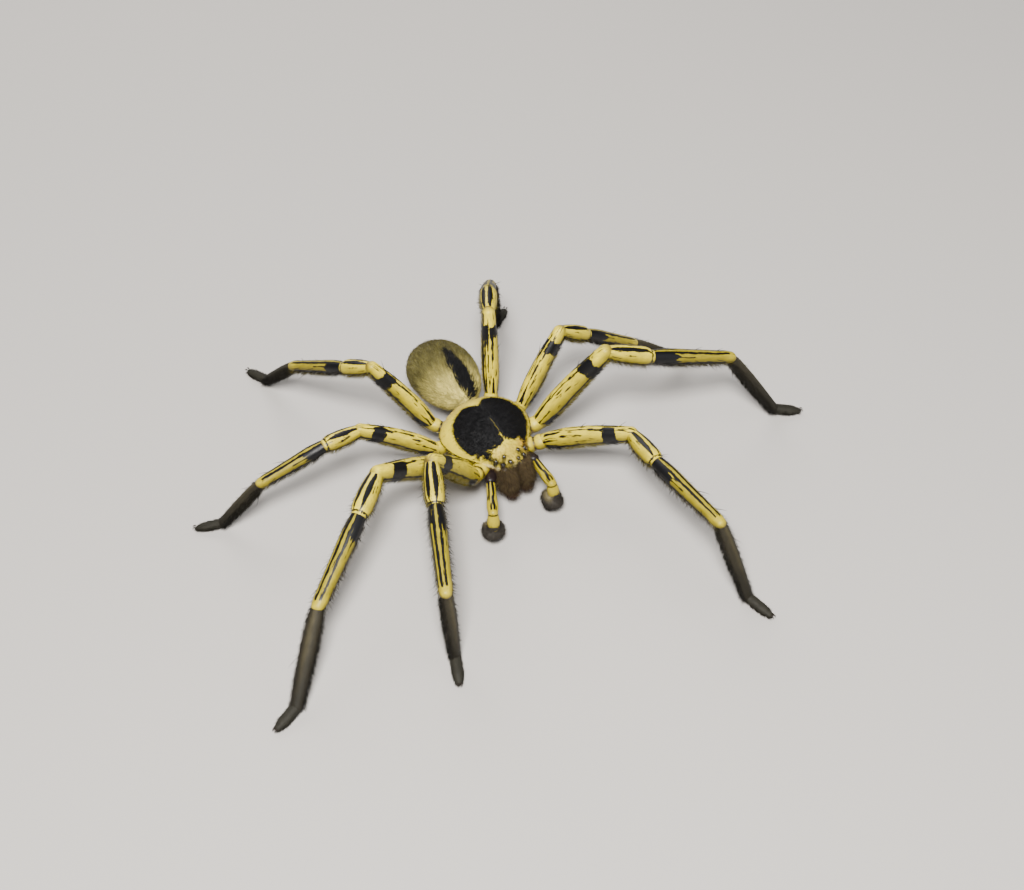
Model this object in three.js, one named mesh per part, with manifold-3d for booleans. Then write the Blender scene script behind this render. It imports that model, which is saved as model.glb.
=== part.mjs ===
// A huntsman spider as a still, life-size model that stands on a flat floor.
// Lengths are millimetres and angles are degrees. +X is the spider's left, -Y is where its head points and
// +Z is up. While it is being built the origin is on the floor under the middle of the carapace, and at the
// end the whole spider is moved so that its origin is on the floor under the middle of its bounding box.
import * as THREE from 'three';
import { mergeVertices } from 'three/addons/utils/BufferGeometryUtils.js';
import Module from 'manifold-3d';

const wasm = await Module();
wasm.setup();

// Gaps between neighbours, and round an eye in its socket
const GAP = 0.3;
const EYE_GAP = 0.12;

// Carapace and sternum: the stations run from the front edge to the back edge
const CARAPACE_LENGTH = 12.45;
const CARAPACE_WIDTH = 12.7;
const CARAPACE_MIDDLE = -0.37;
const CARAPACE_TOP = 10.8;
const DOME_POWER = 1.5;
const RIM_HEIGHT = 7.4;
const RIM_THICKNESS = 0.6;
const STERNUM_HEIGHT = 3.5;
const STERNUM_HALF_WIDTH = 3.1;

// Abdomen
const ABDOMEN = { middle: [1.6, 12.7, 6.5], length: 13.4, width: 9.2, depth: 7.2, yaw: 8, pitch: -8 };
const PEDICEL_RADIUS = 0.8;

// Each pair of legs: where the femur starts, the segment lengths and how stout the pair is. The coxa starts
// inside the body's side at the given place, and the trochanter is its outer end.
const HIP_HEIGHT = 6.5;
const COXA_HEIGHT = 5.1;
const PAIRS = {
  1: { hip: [5.8, -5.2], coxa: [2.0, -3.0], lengths: [13.0, 6.2, 12.8, 11.9, 3.7], stout: 1.0 },
  2: { hip: [7.3, -1.9], coxa: [2.2, -1.0], lengths: [14.8, 6.4, 13.0, 12.7, 3.5], stout: 1.06 },
  3: { hip: [7.2, 2.1], coxa: [2.2, 1.0], lengths: [11.6, 5.1, 9.8, 9.6, 3.3], stout: 0.92 },
  4: { hip: [5.0, 6.3], coxa: [2.0, 3.0], lengths: [12.4, 4.8, 10.6, 10.4, 3.6], stout: 0.92 },
};

// Radius of each leg segment at shares of its own length, before the pair's stoutness
const COXA_PROFILE = [[0, 1.0], [0.45, 1.3], [0.8, 1.12], [1, 1.1]];
const FEMUR_PROFILE = [[0, 1.0], [0.2, 1.28], [0.5, 1.3], [0.82, 1.16], [1, 1.02]];
const PATELLA_PROFILE = [[0, 0.96], [0.3, 1.26], [0.65, 1.36], [1, 1.0]];
const TIBIA_PROFILE = [[0, 1.02], [0.15, 1.17], [0.5, 1.1], [0.85, 1.0], [1, 0.9]];
const METATARSUS_PROFILE = [[0, 0.92], [0.3, 1.04], [0.7, 0.98], [1, 0.84]];
const TARSUS_PROFILE = [[0, 0.76], [0.4, 0.78], [0.8, 0.72], [1, 0.54]];
const FEMUR_BOW = 0.35;
const FEMUR_DEPTH = 1.18;
const SHANK_DEPTH = 0.9;
const FOOT_DEPTH = 0.84;

// Spines of each segment: the share of the length and the turn from the top towards the front for each
const SPINES = {
  femur: [[0.42, 0], [0.66, 10], [0.86, -8], [0.55, 62], [0.62, -62]],
  tibia: [[0.5, 75], [0.78, 70], [0.56, -75], [0.84, -70], [0.48, 150], [0.52, -150], [0.74, 148]],
  metatarsus: [[0.2, 72], [0.24, -72], [0.16, 150], [0.5, -80]],
};
const SPINE_LENGTH = 2.3;
const SPINE_RADIUS = 0.3;
const SPINE_LEAN = 42;

// Claws: two small hooks at each toe
const CLAW_LENGTH = 0.85;
const CLAW_RADIUS = 0.26;

// How each leg is held. Yaw is 0 straight out to the side and 90 straight ahead, pitch is up from the
// floor. The last two segments only have yaws, because they run down to the ankle and toe heights.
const ANKLE_HEIGHT = 1.15;
const TOE_HEIGHT = 0.38;
const POSES = {
  left_1: { yaw: [52, 96, 88, 75, 76], pitch: [23, 6, -2] },
  left_2: { yaw: [25, 25, 13, 31, 29], pitch: [53, -17, -21] },
  left_3: { yaw: [-10, 4, 4, 13, 13], pitch: [51, -32, -36] },
  left_4: { yaw: [-60, -56, -54, -42, -33], pitch: [72, -5, -39] },
  right_1: { yaw: [16, 61, 62, 110, 64], pitch: [51, -15, -9] },
  right_2: { yaw: [8, 36, 32, 40, 16], pitch: [33, -10, -20] },
  right_3: { yaw: [-22, -4, -13, -32, -31], pitch: [31, 0, -22] },
  right_4: { yaw: [-43, -64, -70, -82, -76], pitch: [51, -25, -29] },
};

// Palps: base, knee, wrist and tip of each, as left, back and up. The last piece is the swollen club.
const PALPS = {
  left: [[3.3, -6.2, 5.4], [2.9, -11.0, 5.0], [2.9, -11.5, 3.4], [2.4, -11.3, 1.6]],
  right: [[-3.7, -6.1, 5.4], [-6.5, -10.8, 5.0], [-6.9, -11.5, 3.2], [-6.8, -11.1, 1.5]],
};
const PALP_COXA = [2.5, -4.8, 5.2];
const PALP_HIP = [3.4, -6.2];
const PALP_COXA_PROFILE = [[0, 0.8], [0.6, 0.95], [1, 0.8]];
const PALP_FEMUR_PROFILE = [[0, 0.62], [0.5, 0.72], [1, 0.7]];
const PALP_TIBIA_PROFILE = [[0, 0.72], [0.5, 0.85], [1, 0.85]];
const PALP_CLUB_PROFILE = [[0, 0.9], [0.35, 1.62], [0.7, 1.5], [1, 0.95]];

// Chelicerae: top and tip of the left one, its radii along the way, and its fang
const CHELICERA = [[1.3, -6.2, 5.9], [1.2, -7.4, 3.1]];
const CHELICERA_PROFILE = [[0, 1.1], [0.35, 1.32], [0.75, 1.2], [1, 0.75]];
const FANG_PROFILE = [[0, 0.42], [1, 0.15]];
const FANG_LENGTH = 1.15;
const FANG_COURSE = [-0.62, 0.5, -0.55];

// Eyes: left and back of each left eye's middle on the head, and its radius. Each is sunk by a share of it.
const EYES = {
  front_median: { at: [0.62, -6.4], radius: 0.31 },
  front_lateral: { at: [1.65, -6.12], radius: 0.35 },
  rear_median: { at: [1.12, -5.6], radius: 0.28 },
  rear_lateral: { at: [2.3, -5.35], radius: 0.33 },
};
const EYE_SINK = 0.25;

// Spinnerets: the reach of each pair and its lean from the middle of the cluster
const SPINNERETS = [
  { aside: 0.6, up: -0.45, length: 2.5, radius: 0.48 },
  { aside: 0.58, up: 0.5, length: 2.3, radius: 0.42 },
];

const MATERIALS = {
  carapace: new THREE.MeshStandardMaterial({ color: 0x6f6038, roughness: 0.8, metalness: 0 }),
  abdomen: new THREE.MeshStandardMaterial({ color: 0x8a8150, roughness: 0.9, metalness: 0 }),
  leg: new THREE.MeshStandardMaterial({ color: 0xcdbb69, roughness: 0.7, metalness: 0 }),
  foot: new THREE.MeshStandardMaterial({ color: 0x3b3a30, roughness: 0.85, metalness: 0 }),
  jaw: new THREE.MeshStandardMaterial({ color: 0x3a2418, roughness: 0.6, metalness: 0 }),
  eye: new THREE.MeshStandardMaterial({ color: 0x0c0a09, roughness: 0.08, metalness: 0 }),
};

const { degToRad: radians, radToDeg: degrees, clamp, lerp, smoothstep } = THREE.MathUtils;
const point = (list) => new THREE.Vector3(...list);
const mirrored = (side, list) => point([side * list[0], list[1], list[2]]);

// The direction that a yaw and pitch point to, on the left (side 1) or the right (side -1)
function heading(side, yaw, pitch) {
  const flat = Math.cos(radians(pitch));
  const [across, ahead] = [Math.cos(radians(yaw)), Math.sin(radians(yaw))];
  return point([side * flat * across, -flat * ahead, Math.sin(radians(pitch))]);
}

// A value read from a list of [share, value] pairs, eased between them
function along(profile, share) {
  const next = profile.findIndex((pair) => pair[0] >= share);
  if (next <= 0) return profile[0][1];
  const [from, to] = [profile[next - 1], profile[next]];
  const part = (share - from[0]) / (to[0] - from[0]);
  return lerp(from[1], to[1], (smoothstep(part, 0, 1) + part) / 2);
}

// A geometry as a solid that can be joined and cut
function toSolid(geometry) {
  const bare = geometry.clone();
  bare.deleteAttribute('normal');
  bare.deleteAttribute('uv');
  const closed = mergeVertices(bare, 1e-5);
  return new wasm.Manifold(new wasm.Mesh({
    numProp: 3,
    vertProperties: new Float32Array(closed.attributes.position.array),
    triVerts: new Uint32Array(closed.index.array),
  }));
}

// A closed body of rings. It is a sphere whose vertices are moved: place(ring, angle) gives the new place on
// a ring numbered from 0 to rings, and the first and last rings are single points.
function ringBody(sides, rings, place) {
  const geometry = new THREE.SphereGeometry(1, sides, rings);
  const spots = geometry.attributes.position;
  const vertex = new THREE.Vector3();
  for (let i = 0; i < spots.count; i += 1) {
    vertex.fromBufferAttribute(spots, i);
    const ring = Math.round(Math.acos(clamp(vertex.y, -1, 1)) / Math.PI * rings);
    vertex.copy(place(ring, Math.atan2(vertex.z, vertex.x)));
    spots.setXYZ(i, vertex.x, vertex.y, vertex.z);
  }
  return toSolid(geometry);
}

// A limb through two or more points with a profile for each stretch and a round cap at each end. Its section
// is an ellipse, `deep` times as tall as it is wide, and a bow lifts the middle of a single stretch.
function limb(points, profiles, { stout = 1, sides = 10, steps = 6, deep = 1, bow = 0 } = {}) {
  const stations = [];
  const capAngles = [90, 45];
  const last = points.length - 2;
  points.slice(1).forEach((end, stretch) => {
    const start = points[stretch];
    const direction = end.clone().sub(start).normalize();
    const [first, final] = [along(profiles[stretch], 0) * stout, along(profiles[stretch], 1) * stout];
    if (stretch === 0) {
      capAngles.forEach((angle) => stations.push({
        at: start.clone().addScaledVector(direction, -first * Math.sin(radians(angle))),
        radius: first * Math.cos(radians(angle)) * (angle === 90 ? 0 : 1),
        direction,
      }));
    }
    for (let step = stretch === 0 ? 0 : 1; step <= steps; step += 1) {
      const share = step / steps;
      const at = start.clone().lerp(end, share);
      at.z += bow * Math.sin(Math.PI * share);
      stations.push({ at, radius: along(profiles[stretch], share) * stout, direction });
    }
    if (stretch === last) {
      [...capAngles].reverse().forEach((angle) => stations.push({
        at: end.clone().addScaledVector(direction, final * Math.sin(radians(angle))),
        radius: final * Math.cos(radians(angle)) * (angle === 90 ? 0 : 1),
        direction,
      }));
    }
  });
  return ringBody(sides, stations.length - 1, (ring, angle) => {
    const { at, radius, direction } = stations[ring];
    const side = new THREE.Vector3(0, 0, 1).cross(direction).normalize();
    const up = direction.clone().cross(side);
    return at.clone()
      .addScaledVector(side, radius * Math.cos(angle))
      .addScaledVector(up, radius * deep * Math.sin(angle));
  });
}

// A seeded stream of numbers from 0 to 1
function randomStream(seed) {
  let state = seed;
  return () => {
    state = (state * 1664525 + 1013904223) % 4294967296;
    return state / 4294967296;
  };
}

// A tapered spike of four sides from a root towards a direction
function spike(root, direction, length, radius) {
  const turn = new THREE.Quaternion().setFromUnitVectors(point([0, 1, 0]), direction);
  return toSolid(new THREE.ConeGeometry(radius, length, 4, 1).translate(0, length / 2, 0)
    .applyQuaternion(turn).translate(root.x, root.y, root.z));
}

// A segment with its spines, each rooted near the axis and leaning towards the toe
function withSpines(solid, places, from, to, profile, stout, random) {
  const direction = to.clone().sub(from).normalize();
  const side = point([0, 0, 1]).cross(direction).normalize();
  const up = direction.clone().cross(side);
  return places.reduce((joined, [share, turn]) => {
    const angle = radians(turn + 10 * (random() - 0.5));
    const radius = along(profile, share) * stout;
    const outward = up.clone().multiplyScalar(Math.cos(angle)).addScaledVector(side, Math.sin(angle));
    const lean = radians(SPINE_LEAN + 8 * (random() - 0.5));
    const course = outward.clone().multiplyScalar(Math.sin(lean)).addScaledVector(direction, Math.cos(lean));
    const root = from.clone().lerp(to, share + 0.04 * (random() - 0.5)).addScaledVector(outward, radius * 0.35);
    return joined.add(spike(root, course, SPINE_LENGTH * (0.9 + 0.2 * random()) + radius * 0.8, SPINE_RADIUS));
  }, solid);
}

// Cuts that leave half the gap on each side of the plane halfway between two directions at a joint
function jointPlane(at, before, after) {
  const normal = before.clone().add(after).normalize();
  return { normal, offset: normal.dot(at) };
}
const keepBefore = (solid, plane) => solid.trimByPlane(
  plane.normal.clone().negate().toArray(), -plane.offset + GAP / 2);
const keepAfter = (solid, plane) => solid.trimByPlane(plane.normal.toArray(), plane.offset + GAP / 2);

// The named mesh of a solid's largest closed piece, whose own origin is at the given place
function toMesh(name, solid, material, origin) {
  const [largest] = solid.decompose().sort((a, b) => b.volume() - a.volume());
  const { vertProperties, triVerts } = largest.getMesh();
  const geometry = new THREE.BufferGeometry();
  geometry.setAttribute('position', new THREE.BufferAttribute(new Float32Array(vertProperties), 3));
  geometry.setIndex(new THREE.BufferAttribute(new Uint32Array(triVerts), 1));
  geometry.translate(-origin.x, -origin.y, -origin.z);
  geometry.computeVertexNormals();
  const mesh = new THREE.Mesh(geometry, material);
  mesh.name = name;
  mesh.position.copy(origin);
  return mesh;
}

const spider = new THREE.Group();

// Carapace with the sternum under it, one shell. Half widths, top heights and underside widths are read at
// shares of its length from the blunt front edge, which carries the eyes, to the notched back.
const HALF_WIDTHS = [[0, 0.3], [0.02, 0.34], [0.08, 0.44], [0.2, 0.64], [0.36, 0.88], [0.55, 1],
  [0.72, 0.96], [0.86, 0.76], [0.95, 0.5], [1, 0.3]];
const TOPS = [[0, 0.0], [0.04, 0.14], [0.1, 0.34], [0.2, 0.6], [0.36, 0.88], [0.55, 1], [0.72, 0.94],
  [0.88, 0.66], [0.96, 0.34], [1, 0.1]];
const RIM_LIFTS = [[0, -1.1], [0.12, -0.7], [0.3, 0], [0.8, 0], [1, -0.2]];
const CARAPACE_STATIONS = [0, 0.0, 0.025, 0.06, 0.1, 0.15, 0.21, 0.28, 0.36, 0.45, 0.54, 0.63, 0.72, 0.8,
  0.87, 0.93, 0.97, 1, 1];

// Height of the carapace's outer surface over a place on the floor
function domeHeight(aside, back) {
  const share = (back - CARAPACE_MIDDLE) / CARAPACE_LENGTH + 0.5;
  const rim = RIM_HEIGHT + along(RIM_LIFTS, share);
  const top = along(TOPS, share) * (CARAPACE_TOP - RIM_HEIGHT) + (RIM_HEIGHT - rim);
  const reach = Math.min(1, Math.abs(aside) / (along(HALF_WIDTHS, share) * CARAPACE_WIDTH / 2));
  return rim + top * (1 - reach ** 2) ** (DOME_POWER / 2);
}

function prosoma(grow) {
  const last = CARAPACE_STATIONS.length - 1;
  return ringBody(28, last, (ring, angle) => {
    const share = CARAPACE_STATIONS[ring];
    const back = CARAPACE_MIDDLE + (share - 0.5) * (CARAPACE_LENGTH + 2 * grow);
    const rim = RIM_HEIGHT + along(RIM_LIFTS, share);
    if (ring === 0 || ring === last) return point([0, back, rim]);
    const halfWidth = along(HALF_WIDTHS, share) * CARAPACE_WIDTH / 2 + grow;
    const top = along(TOPS, share) * (CARAPACE_TOP - RIM_HEIGHT) + (RIM_HEIGHT - rim) + grow;
    const aside = -halfWidth * Math.cos(angle);
    if (Math.sin(angle) >= 0) return point([aside, back, rim + top * Math.sin(angle) ** DOME_POWER]);
    const reach = grow + STERNUM_HALF_WIDTH * Math.sin(Math.PI * clamp(share * 1.04 - 0.02, 0, 1)) ** 0.4;
    const core = 1 - smoothstep(Math.abs(aside), reach - 0.3, reach + 0.5);
    const foreAndAft = smoothstep(share, 0.06, 0.22) * (1 - smoothstep(share, 0.84, 0.97));
    const belly = (rim - RIM_THICKNESS - STERNUM_HEIGHT) * core * foreAndAft;
    const edge = Math.min(1, -Math.sin(angle) * 3);
    return point([aside, back, rim - (RIM_THICKNESS + grow) * edge - belly * edge]);
  });
}

const body = prosoma(0);
const clearOfBody = prosoma(GAP);
const sides = { left: 1, right: -1 };

let head = body;
for (const [side, sign] of Object.entries(sides)) {
  for (const [name, { at, radius }] of Object.entries(EYES)) {
    const middle = mirrored(sign, [...at, domeHeight(...at) - radius * EYE_SINK]);
    const ball = (size) => toSolid(new THREE.SphereGeometry(size, 10, 7).rotateX(Math.PI / 2)
      .translate(middle.x, middle.y, middle.z));
    head = head.subtract(ball(radius + EYE_GAP));
    spider.add(toMesh(`eye_${name}_${side}`, ball(radius), MATERIALS.eye, middle));
  }
}
spider.add(toMesh('cephalothorax', head, MATERIALS.carapace, point([0, 0, RIM_HEIGHT])));

// Abdomen, an egg that is widest behind its middle, with the short stalk that joins it to the body
const abdomenMiddle = point(ABDOMEN.middle);
const abdomenAxis = point([
  Math.cos(radians(ABDOMEN.pitch)) * Math.sin(radians(ABDOMEN.yaw)),
  Math.cos(radians(ABDOMEN.pitch)) * Math.cos(radians(ABDOMEN.yaw)),
  Math.sin(radians(ABDOMEN.pitch)),
]);
const abdomenSide = point([0, 0, 1]).cross(abdomenAxis).normalize();
const abdomenUp = abdomenAxis.clone().cross(abdomenSide);
const ABDOMEN_RINGS = 18;
const egg = (grow) => ringBody(24, ABDOMEN_RINGS, (ring, angle) => {
  const turn = Math.PI * ring / ABDOMEN_RINGS;
  const girth = Math.sin(turn) ** 0.9 * (1 - 0.1 * Math.cos(turn)) * (ring % ABDOMEN_RINGS === 0 ? 0 : 1);
  const flat = Math.sin(angle) < 0 ? 0.92 : 1;
  return abdomenMiddle.clone()
    .addScaledVector(abdomenAxis, -Math.cos(turn) * (ABDOMEN.length / 2 + grow))
    .addScaledVector(abdomenSide, girth * Math.cos(angle) * (ABDOMEN.width / 2 + grow))
    .addScaledVector(abdomenUp, girth * Math.sin(angle) * flat * (ABDOMEN.depth / 2 + grow));
});
const stalk = limb([point([0, 5.4, 5.6]), abdomenMiddle.clone().addScaledVector(abdomenAxis, -4)],
  [[[0, PEDICEL_RADIUS], [1, PEDICEL_RADIUS]]], { steps: 2 });
const abdomen = egg(0).add(stalk).subtract(clearOfBody);
spider.add(toMesh('abdomen', abdomen, MATERIALS.abdomen, abdomenMiddle));

// Spinnerets, two pairs of short cones on one base, below the tail end of the abdomen
const tailEnd = abdomenMiddle.clone()
  .addScaledVector(abdomenAxis, ABDOMEN.length / 2 - 1.3)
  .addScaledVector(abdomenUp, -0.9);
const base = limb([tailEnd, tailEnd.clone().addScaledVector(abdomenAxis, 1.0)], [[[0, 1.2], [1, 1.1]]],
  { sides: 14, steps: 2 });
const cones = Object.values(sides).flatMap((sign) => SPINNERETS.map(({ aside, up, length, radius }) => {
  const root = tailEnd.clone().addScaledVector(abdomenSide, sign * aside).addScaledVector(abdomenUp, up);
  const tip = root.clone().addScaledVector(abdomenAxis, length).addScaledVector(abdomenSide, sign * 0.12);
  return limb([root, tip], [[[0, radius], [0.7, radius * 0.85], [1, radius * 0.55]]], { sides: 8, steps: 3 });
}));
const spinnerets = cones.reduce((joined, cone) => joined.add(cone), base).subtract(egg(GAP));
spider.add(toMesh('spinnerets', spinnerets, MATERIALS.abdomen, tailEnd));

// The roots of neighbouring limbs are parted by a plane halfway between them, from the palp (0) backwards
const roots = [{ hip: PALP_HIP, coxa: PALP_COXA }, ...Object.values(PAIRS)];
const partings = [];
for (const pair of [0, 1, 2, 3]) {
  const [front, back] = [roots[pair], roots[pair + 1]];
  const inner = point([(front.coxa[0] + back.coxa[0]) / 2, (front.coxa[1] + back.coxa[1]) / 2, 0]);
  const outer = point([(front.hip[0] + back.hip[0]) / 2, (front.hip[1] + back.hip[1]) / 2, 0]);
  const run = outer.clone().sub(inner).normalize();
  partings[pair] = { normal: point([-run.y, run.x, 0]), through: inner };
}

// What is left of a limb's root after the planes in front of it and behind it
function parted(solid, sign, limbNumber) {
  let rest = solid;
  partings.forEach(({ normal, through }, before) => {
    const across = point([sign * normal.x, normal.y, 0]);
    const plane = { normal: across, offset: across.dot(mirrored(sign, through.toArray())) };
    if (before === limbNumber) rest = keepBefore(rest, plane);
    if (before === limbNumber - 1) rest = keepAfter(rest, plane);
  });
  return rest;
}

// Legs
function leg(side, sign, pair) {
  const { hip, coxa, lengths, stout } = PAIRS[pair];
  const { yaw, pitch } = POSES[`${side}_${pair}`];
  const name = `leg_${side}_${pair}`;
  const joints = [mirrored(sign, [...hip, HIP_HEIGHT])];
  const courses = [];
  lengths.forEach((length, i) => {
    const from = joints[i];
    const down = (i === 3 ? ANKLE_HEIGHT : TOE_HEIGHT) - from.z;
    const rise = i < 3 ? pitch[i] : degrees(Math.asin(down / length));
    const course = heading(sign, yaw[i], rise);
    courses.push(course);
    joints.push(from.clone().addScaledVector(course, length));
  });
  const coxaStart = mirrored(sign, [...coxa, COXA_HEIGHT]);
  const coxaCourse = joints[0].clone().sub(coxaStart).normalize();
  const hipPlane = jointPlane(joints[0], coxaCourse, courses[0]);
  const knee = jointPlane(joints[1], courses[0], courses[1]);
  const heel = jointPlane(joints[3], courses[2], courses[3]);
  const ankle = jointPlane(joints[4], courses[3], courses[4]);

  const coxaForm = keepBefore(limb([coxaStart, joints[0]], [COXA_PROFILE],
    { stout, sides: 9, steps: 4 }), hipPlane);
  const coxaSolid = parted(coxaForm.subtract(clearOfBody), sign, pair);
  const random = randomStream(pair * 7 + (sign > 0 ? 3 : 29));
  const spined = (solid, kind, from, profile) => withSpines(solid, SPINES[kind], joints[from], joints[from + 1],
    profile, stout, random);
  const femurForm = keepBefore(keepAfter(limb([joints[0], joints[1]], [FEMUR_PROFILE],
    { stout, deep: FEMUR_DEPTH, bow: FEMUR_BOW, steps: 5 }), hipPlane), knee).subtract(clearOfBody);
  const shankForm = keepBefore(keepAfter(limb([joints[1], joints[2], joints[3]],
    [PATELLA_PROFILE, TIBIA_PROFILE], { stout, deep: SHANK_DEPTH, steps: 4 }), knee), heel);
  const metatarsusForm = keepBefore(keepAfter(limb([joints[3], joints[4]], [METATARSUS_PROFILE],
    { stout, deep: FOOT_DEPTH, sides: 8, steps: 4 }), heel), ankle);
  const femur = spined(femurForm, 'femur', 0, FEMUR_PROFILE);
  const shank = spined(shankForm, 'tibia', 2, TIBIA_PROFILE);
  const metatarsus = spined(metatarsusForm, 'metatarsus', 3, METATARSUS_PROFILE);
  let tarsus = keepAfter(limb([joints[4], joints[5]], [TARSUS_PROFILE],
    { stout, deep: FOOT_DEPTH, sides: 9, steps: 4 }), ankle);
  const across = point([0, 0, 1]).cross(courses[4]).normalize();
  for (const turn of [-1, 1]) {
    const root = joints[5].clone().addScaledVector(across, turn * 0.25);
    const course = courses[4].clone().addScaledVector(across, turn * 0.2).normalize();
    tarsus = tarsus.add(spike(root, course, CLAW_LENGTH + 0.4, CLAW_RADIUS));
  }
  tarsus = tarsus.trimByPlane([0, 0, 1], 0);

  spider.add(
    toMesh(`${name}_coxa`, coxaSolid, MATERIALS.leg, coxaStart),
    toMesh(`${name}_femur`, femur, MATERIALS.leg, joints[0]),
    toMesh(`${name}_tibia`, shank, MATERIALS.leg, joints[1]),
    toMesh(`${name}_metatarsus`, metatarsus, MATERIALS.foot, joints[3]),
    toMesh(`${name}_tarsus`, tarsus, MATERIALS.foot, joints[4]),
  );
}
for (const [side, sign] of Object.entries(sides)) {
  for (const pair of [1, 2, 3, 4]) leg(side, sign, pair);
}

// Chelicerae, each with its fang folded in against the other, and palps
for (const [side, sign] of Object.entries(sides)) {
  const [top, tip] = CHELICERA.map((list) => mirrored(sign, list));
  const fangRoot = tip.clone().add(mirrored(sign, [0.1, -0.1, 0.1]));
  const fangTip = fangRoot.clone().addScaledVector(mirrored(sign, FANG_COURSE).normalize(), FANG_LENGTH);
  const fang = limb([fangRoot, fangTip], [FANG_PROFILE], { sides: 6, steps: 2 });
  const clearOfJaw = limb([top, tip], [CHELICERA_PROFILE.map(([share, radius]) => [share, radius + GAP])]);
  const jaw = limb([top, tip], [CHELICERA_PROFILE], { sides: 14, steps: 6 }).add(fang)
    .subtract(clearOfBody)
    .trimByPlane([sign, 0, 0], GAP / 2);
  spider.add(toMesh(`chelicera_${side}`, jaw, MATERIALS.jaw, top));

  const [base, kneeAt, wristAt, tipAt] = PALPS[side].map(point);
  const rootAt = mirrored(sign, PALP_COXA);
  const course = (from, to) => to.clone().sub(from).normalize();
  const knee = jointPlane(kneeAt, course(base, kneeAt), course(kneeAt, wristAt));
  const wrist = jointPlane(wristAt, course(kneeAt, wristAt), course(wristAt, tipAt));
  const palp = limb([rootAt, base, kneeAt], [PALP_COXA_PROFILE, PALP_FEMUR_PROFILE], { steps: 4 });
  const femur = parted(keepBefore(palp, knee).subtract(clearOfBody).subtract(clearOfJaw), sign, 0);
  const tibia = keepBefore(keepAfter(limb([kneeAt, wristAt], [PALP_TIBIA_PROFILE], { steps: 3 }), knee), wrist);
  const club = keepAfter(limb([wristAt, tipAt], [PALP_CLUB_PROFILE], { sides: 12, steps: 6 }), wrist);
  spider.add(
    toMesh(`palp_${side}_femur`, femur, MATERIALS.leg, base),
    toMesh(`palp_${side}_tibia`, tibia, MATERIALS.leg, kneeAt),
    toMesh(`palp_${side}_tarsus`, club, MATERIALS.foot, wristAt),
  );
}

// The spider stands with the middle of its bounding box over the origin
const box = new THREE.Box3().setFromObject(spider);
const centre = box.getCenter(new THREE.Vector3());
spider.position.set(-centre.x, -centre.y, 0);

export default spider;
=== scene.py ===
import math

import bpy
import numpy as np
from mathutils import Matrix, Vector


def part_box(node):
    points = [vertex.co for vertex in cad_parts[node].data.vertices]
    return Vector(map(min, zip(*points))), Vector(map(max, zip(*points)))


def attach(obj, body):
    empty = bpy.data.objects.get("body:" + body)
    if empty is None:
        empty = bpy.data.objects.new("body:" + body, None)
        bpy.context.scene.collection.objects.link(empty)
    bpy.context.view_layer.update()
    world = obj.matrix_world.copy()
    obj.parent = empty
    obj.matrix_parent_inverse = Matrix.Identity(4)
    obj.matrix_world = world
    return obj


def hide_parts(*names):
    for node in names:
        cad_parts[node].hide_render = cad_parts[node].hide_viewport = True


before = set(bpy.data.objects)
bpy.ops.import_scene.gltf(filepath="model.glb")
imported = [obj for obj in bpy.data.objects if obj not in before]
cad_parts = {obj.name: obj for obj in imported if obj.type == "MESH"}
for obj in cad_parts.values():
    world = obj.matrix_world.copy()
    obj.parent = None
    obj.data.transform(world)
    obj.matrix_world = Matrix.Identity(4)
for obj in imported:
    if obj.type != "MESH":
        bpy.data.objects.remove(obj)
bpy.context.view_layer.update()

# The spider's own axes: +X its left, -Y ahead, +Z up, in millimetres from the floor under its carapace. The
# frame starts under the middle of the whole spider instead, and the carapace's box gives the way between.
MM = 0.001
CARAPACE_MIDDLE = -0.37
low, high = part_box("cephalothorax")
UNDER_CARAPACE = np.array([(low.x + high.x) / 2, (low.y + high.y) / 2 - CARAPACE_MIDDLE * MM, 0.0])


def in_frame(points):
    """Points in the spider's own axes, moved to the frame and turned into metres."""
    return np.asarray(points, float) * MM + UNDER_CARAPACE


# The camera looks down at the spider from ahead and to its right, from 300 mm away with a long lens, so that
# it faces right of the camera as in the picture. No shift, and everything in focus.
CAMERA_AT = (-111.2, -165.2, 220.5)
LOOKED_AT = (5.2, 1.6, 0.0)
SENSOR_WIDTH = 36.0
LENS = 75.9
camera_data = bpy.data.cameras.new("camera")
camera_data.sensor_width = SENSOR_WIDTH
camera_data.lens = LENS
camera_data.clip_start = 0.01
camera = bpy.data.objects.new("camera", camera_data)
bpy.context.scene.collection.objects.link(camera)
camera.location = in_frame(CAMERA_AT)
sight = Vector(in_frame(LOOKED_AT)) - camera.location
camera.rotation_euler = sight.to_track_quat("-Z", "Y").to_euler()
bpy.context.scene.camera = camera

# A plain pale floor and a plain studio: a large soft key lamp beside the camera, a weak fill from the other
# side, a rim lamp behind, and an even grey surrounding light.
FLOOR_SIZE = 1.6
FLOOR_DROP = 0.02
FLOOR_COLOR = (0.54, 0.515, 0.49)
FLOOR_ROUGH = 0.85
LAMPS = {
    "key": {"at": (-130, -160, 330), "size": 0.09, "power": 3.5, "color": (1.0, 0.975, 0.93)},
    "fill": {"at": (190, -210, 170), "size": 0.3, "power": 0.26, "color": (0.93, 0.96, 1.0)},
    "rim": {"at": (60, 260, 230), "size": 0.22, "power": 0.7, "color": (1.0, 0.98, 0.95)},
}
SURROUND = (0.9, 0.93, 1.0, 1.0)
SURROUND_STRENGTH = 0.07


def plain_material(name, color, rough):
    """A material whose shader has one colour and one roughness."""
    material = bpy.data.materials.new(name)
    material.use_nodes = True
    shader = material.node_tree.nodes["Principled BSDF"]
    shader.inputs["Base Color"].default_value = (*color, 1.0)
    shader.inputs["Roughness"].default_value = rough
    return material


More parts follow.
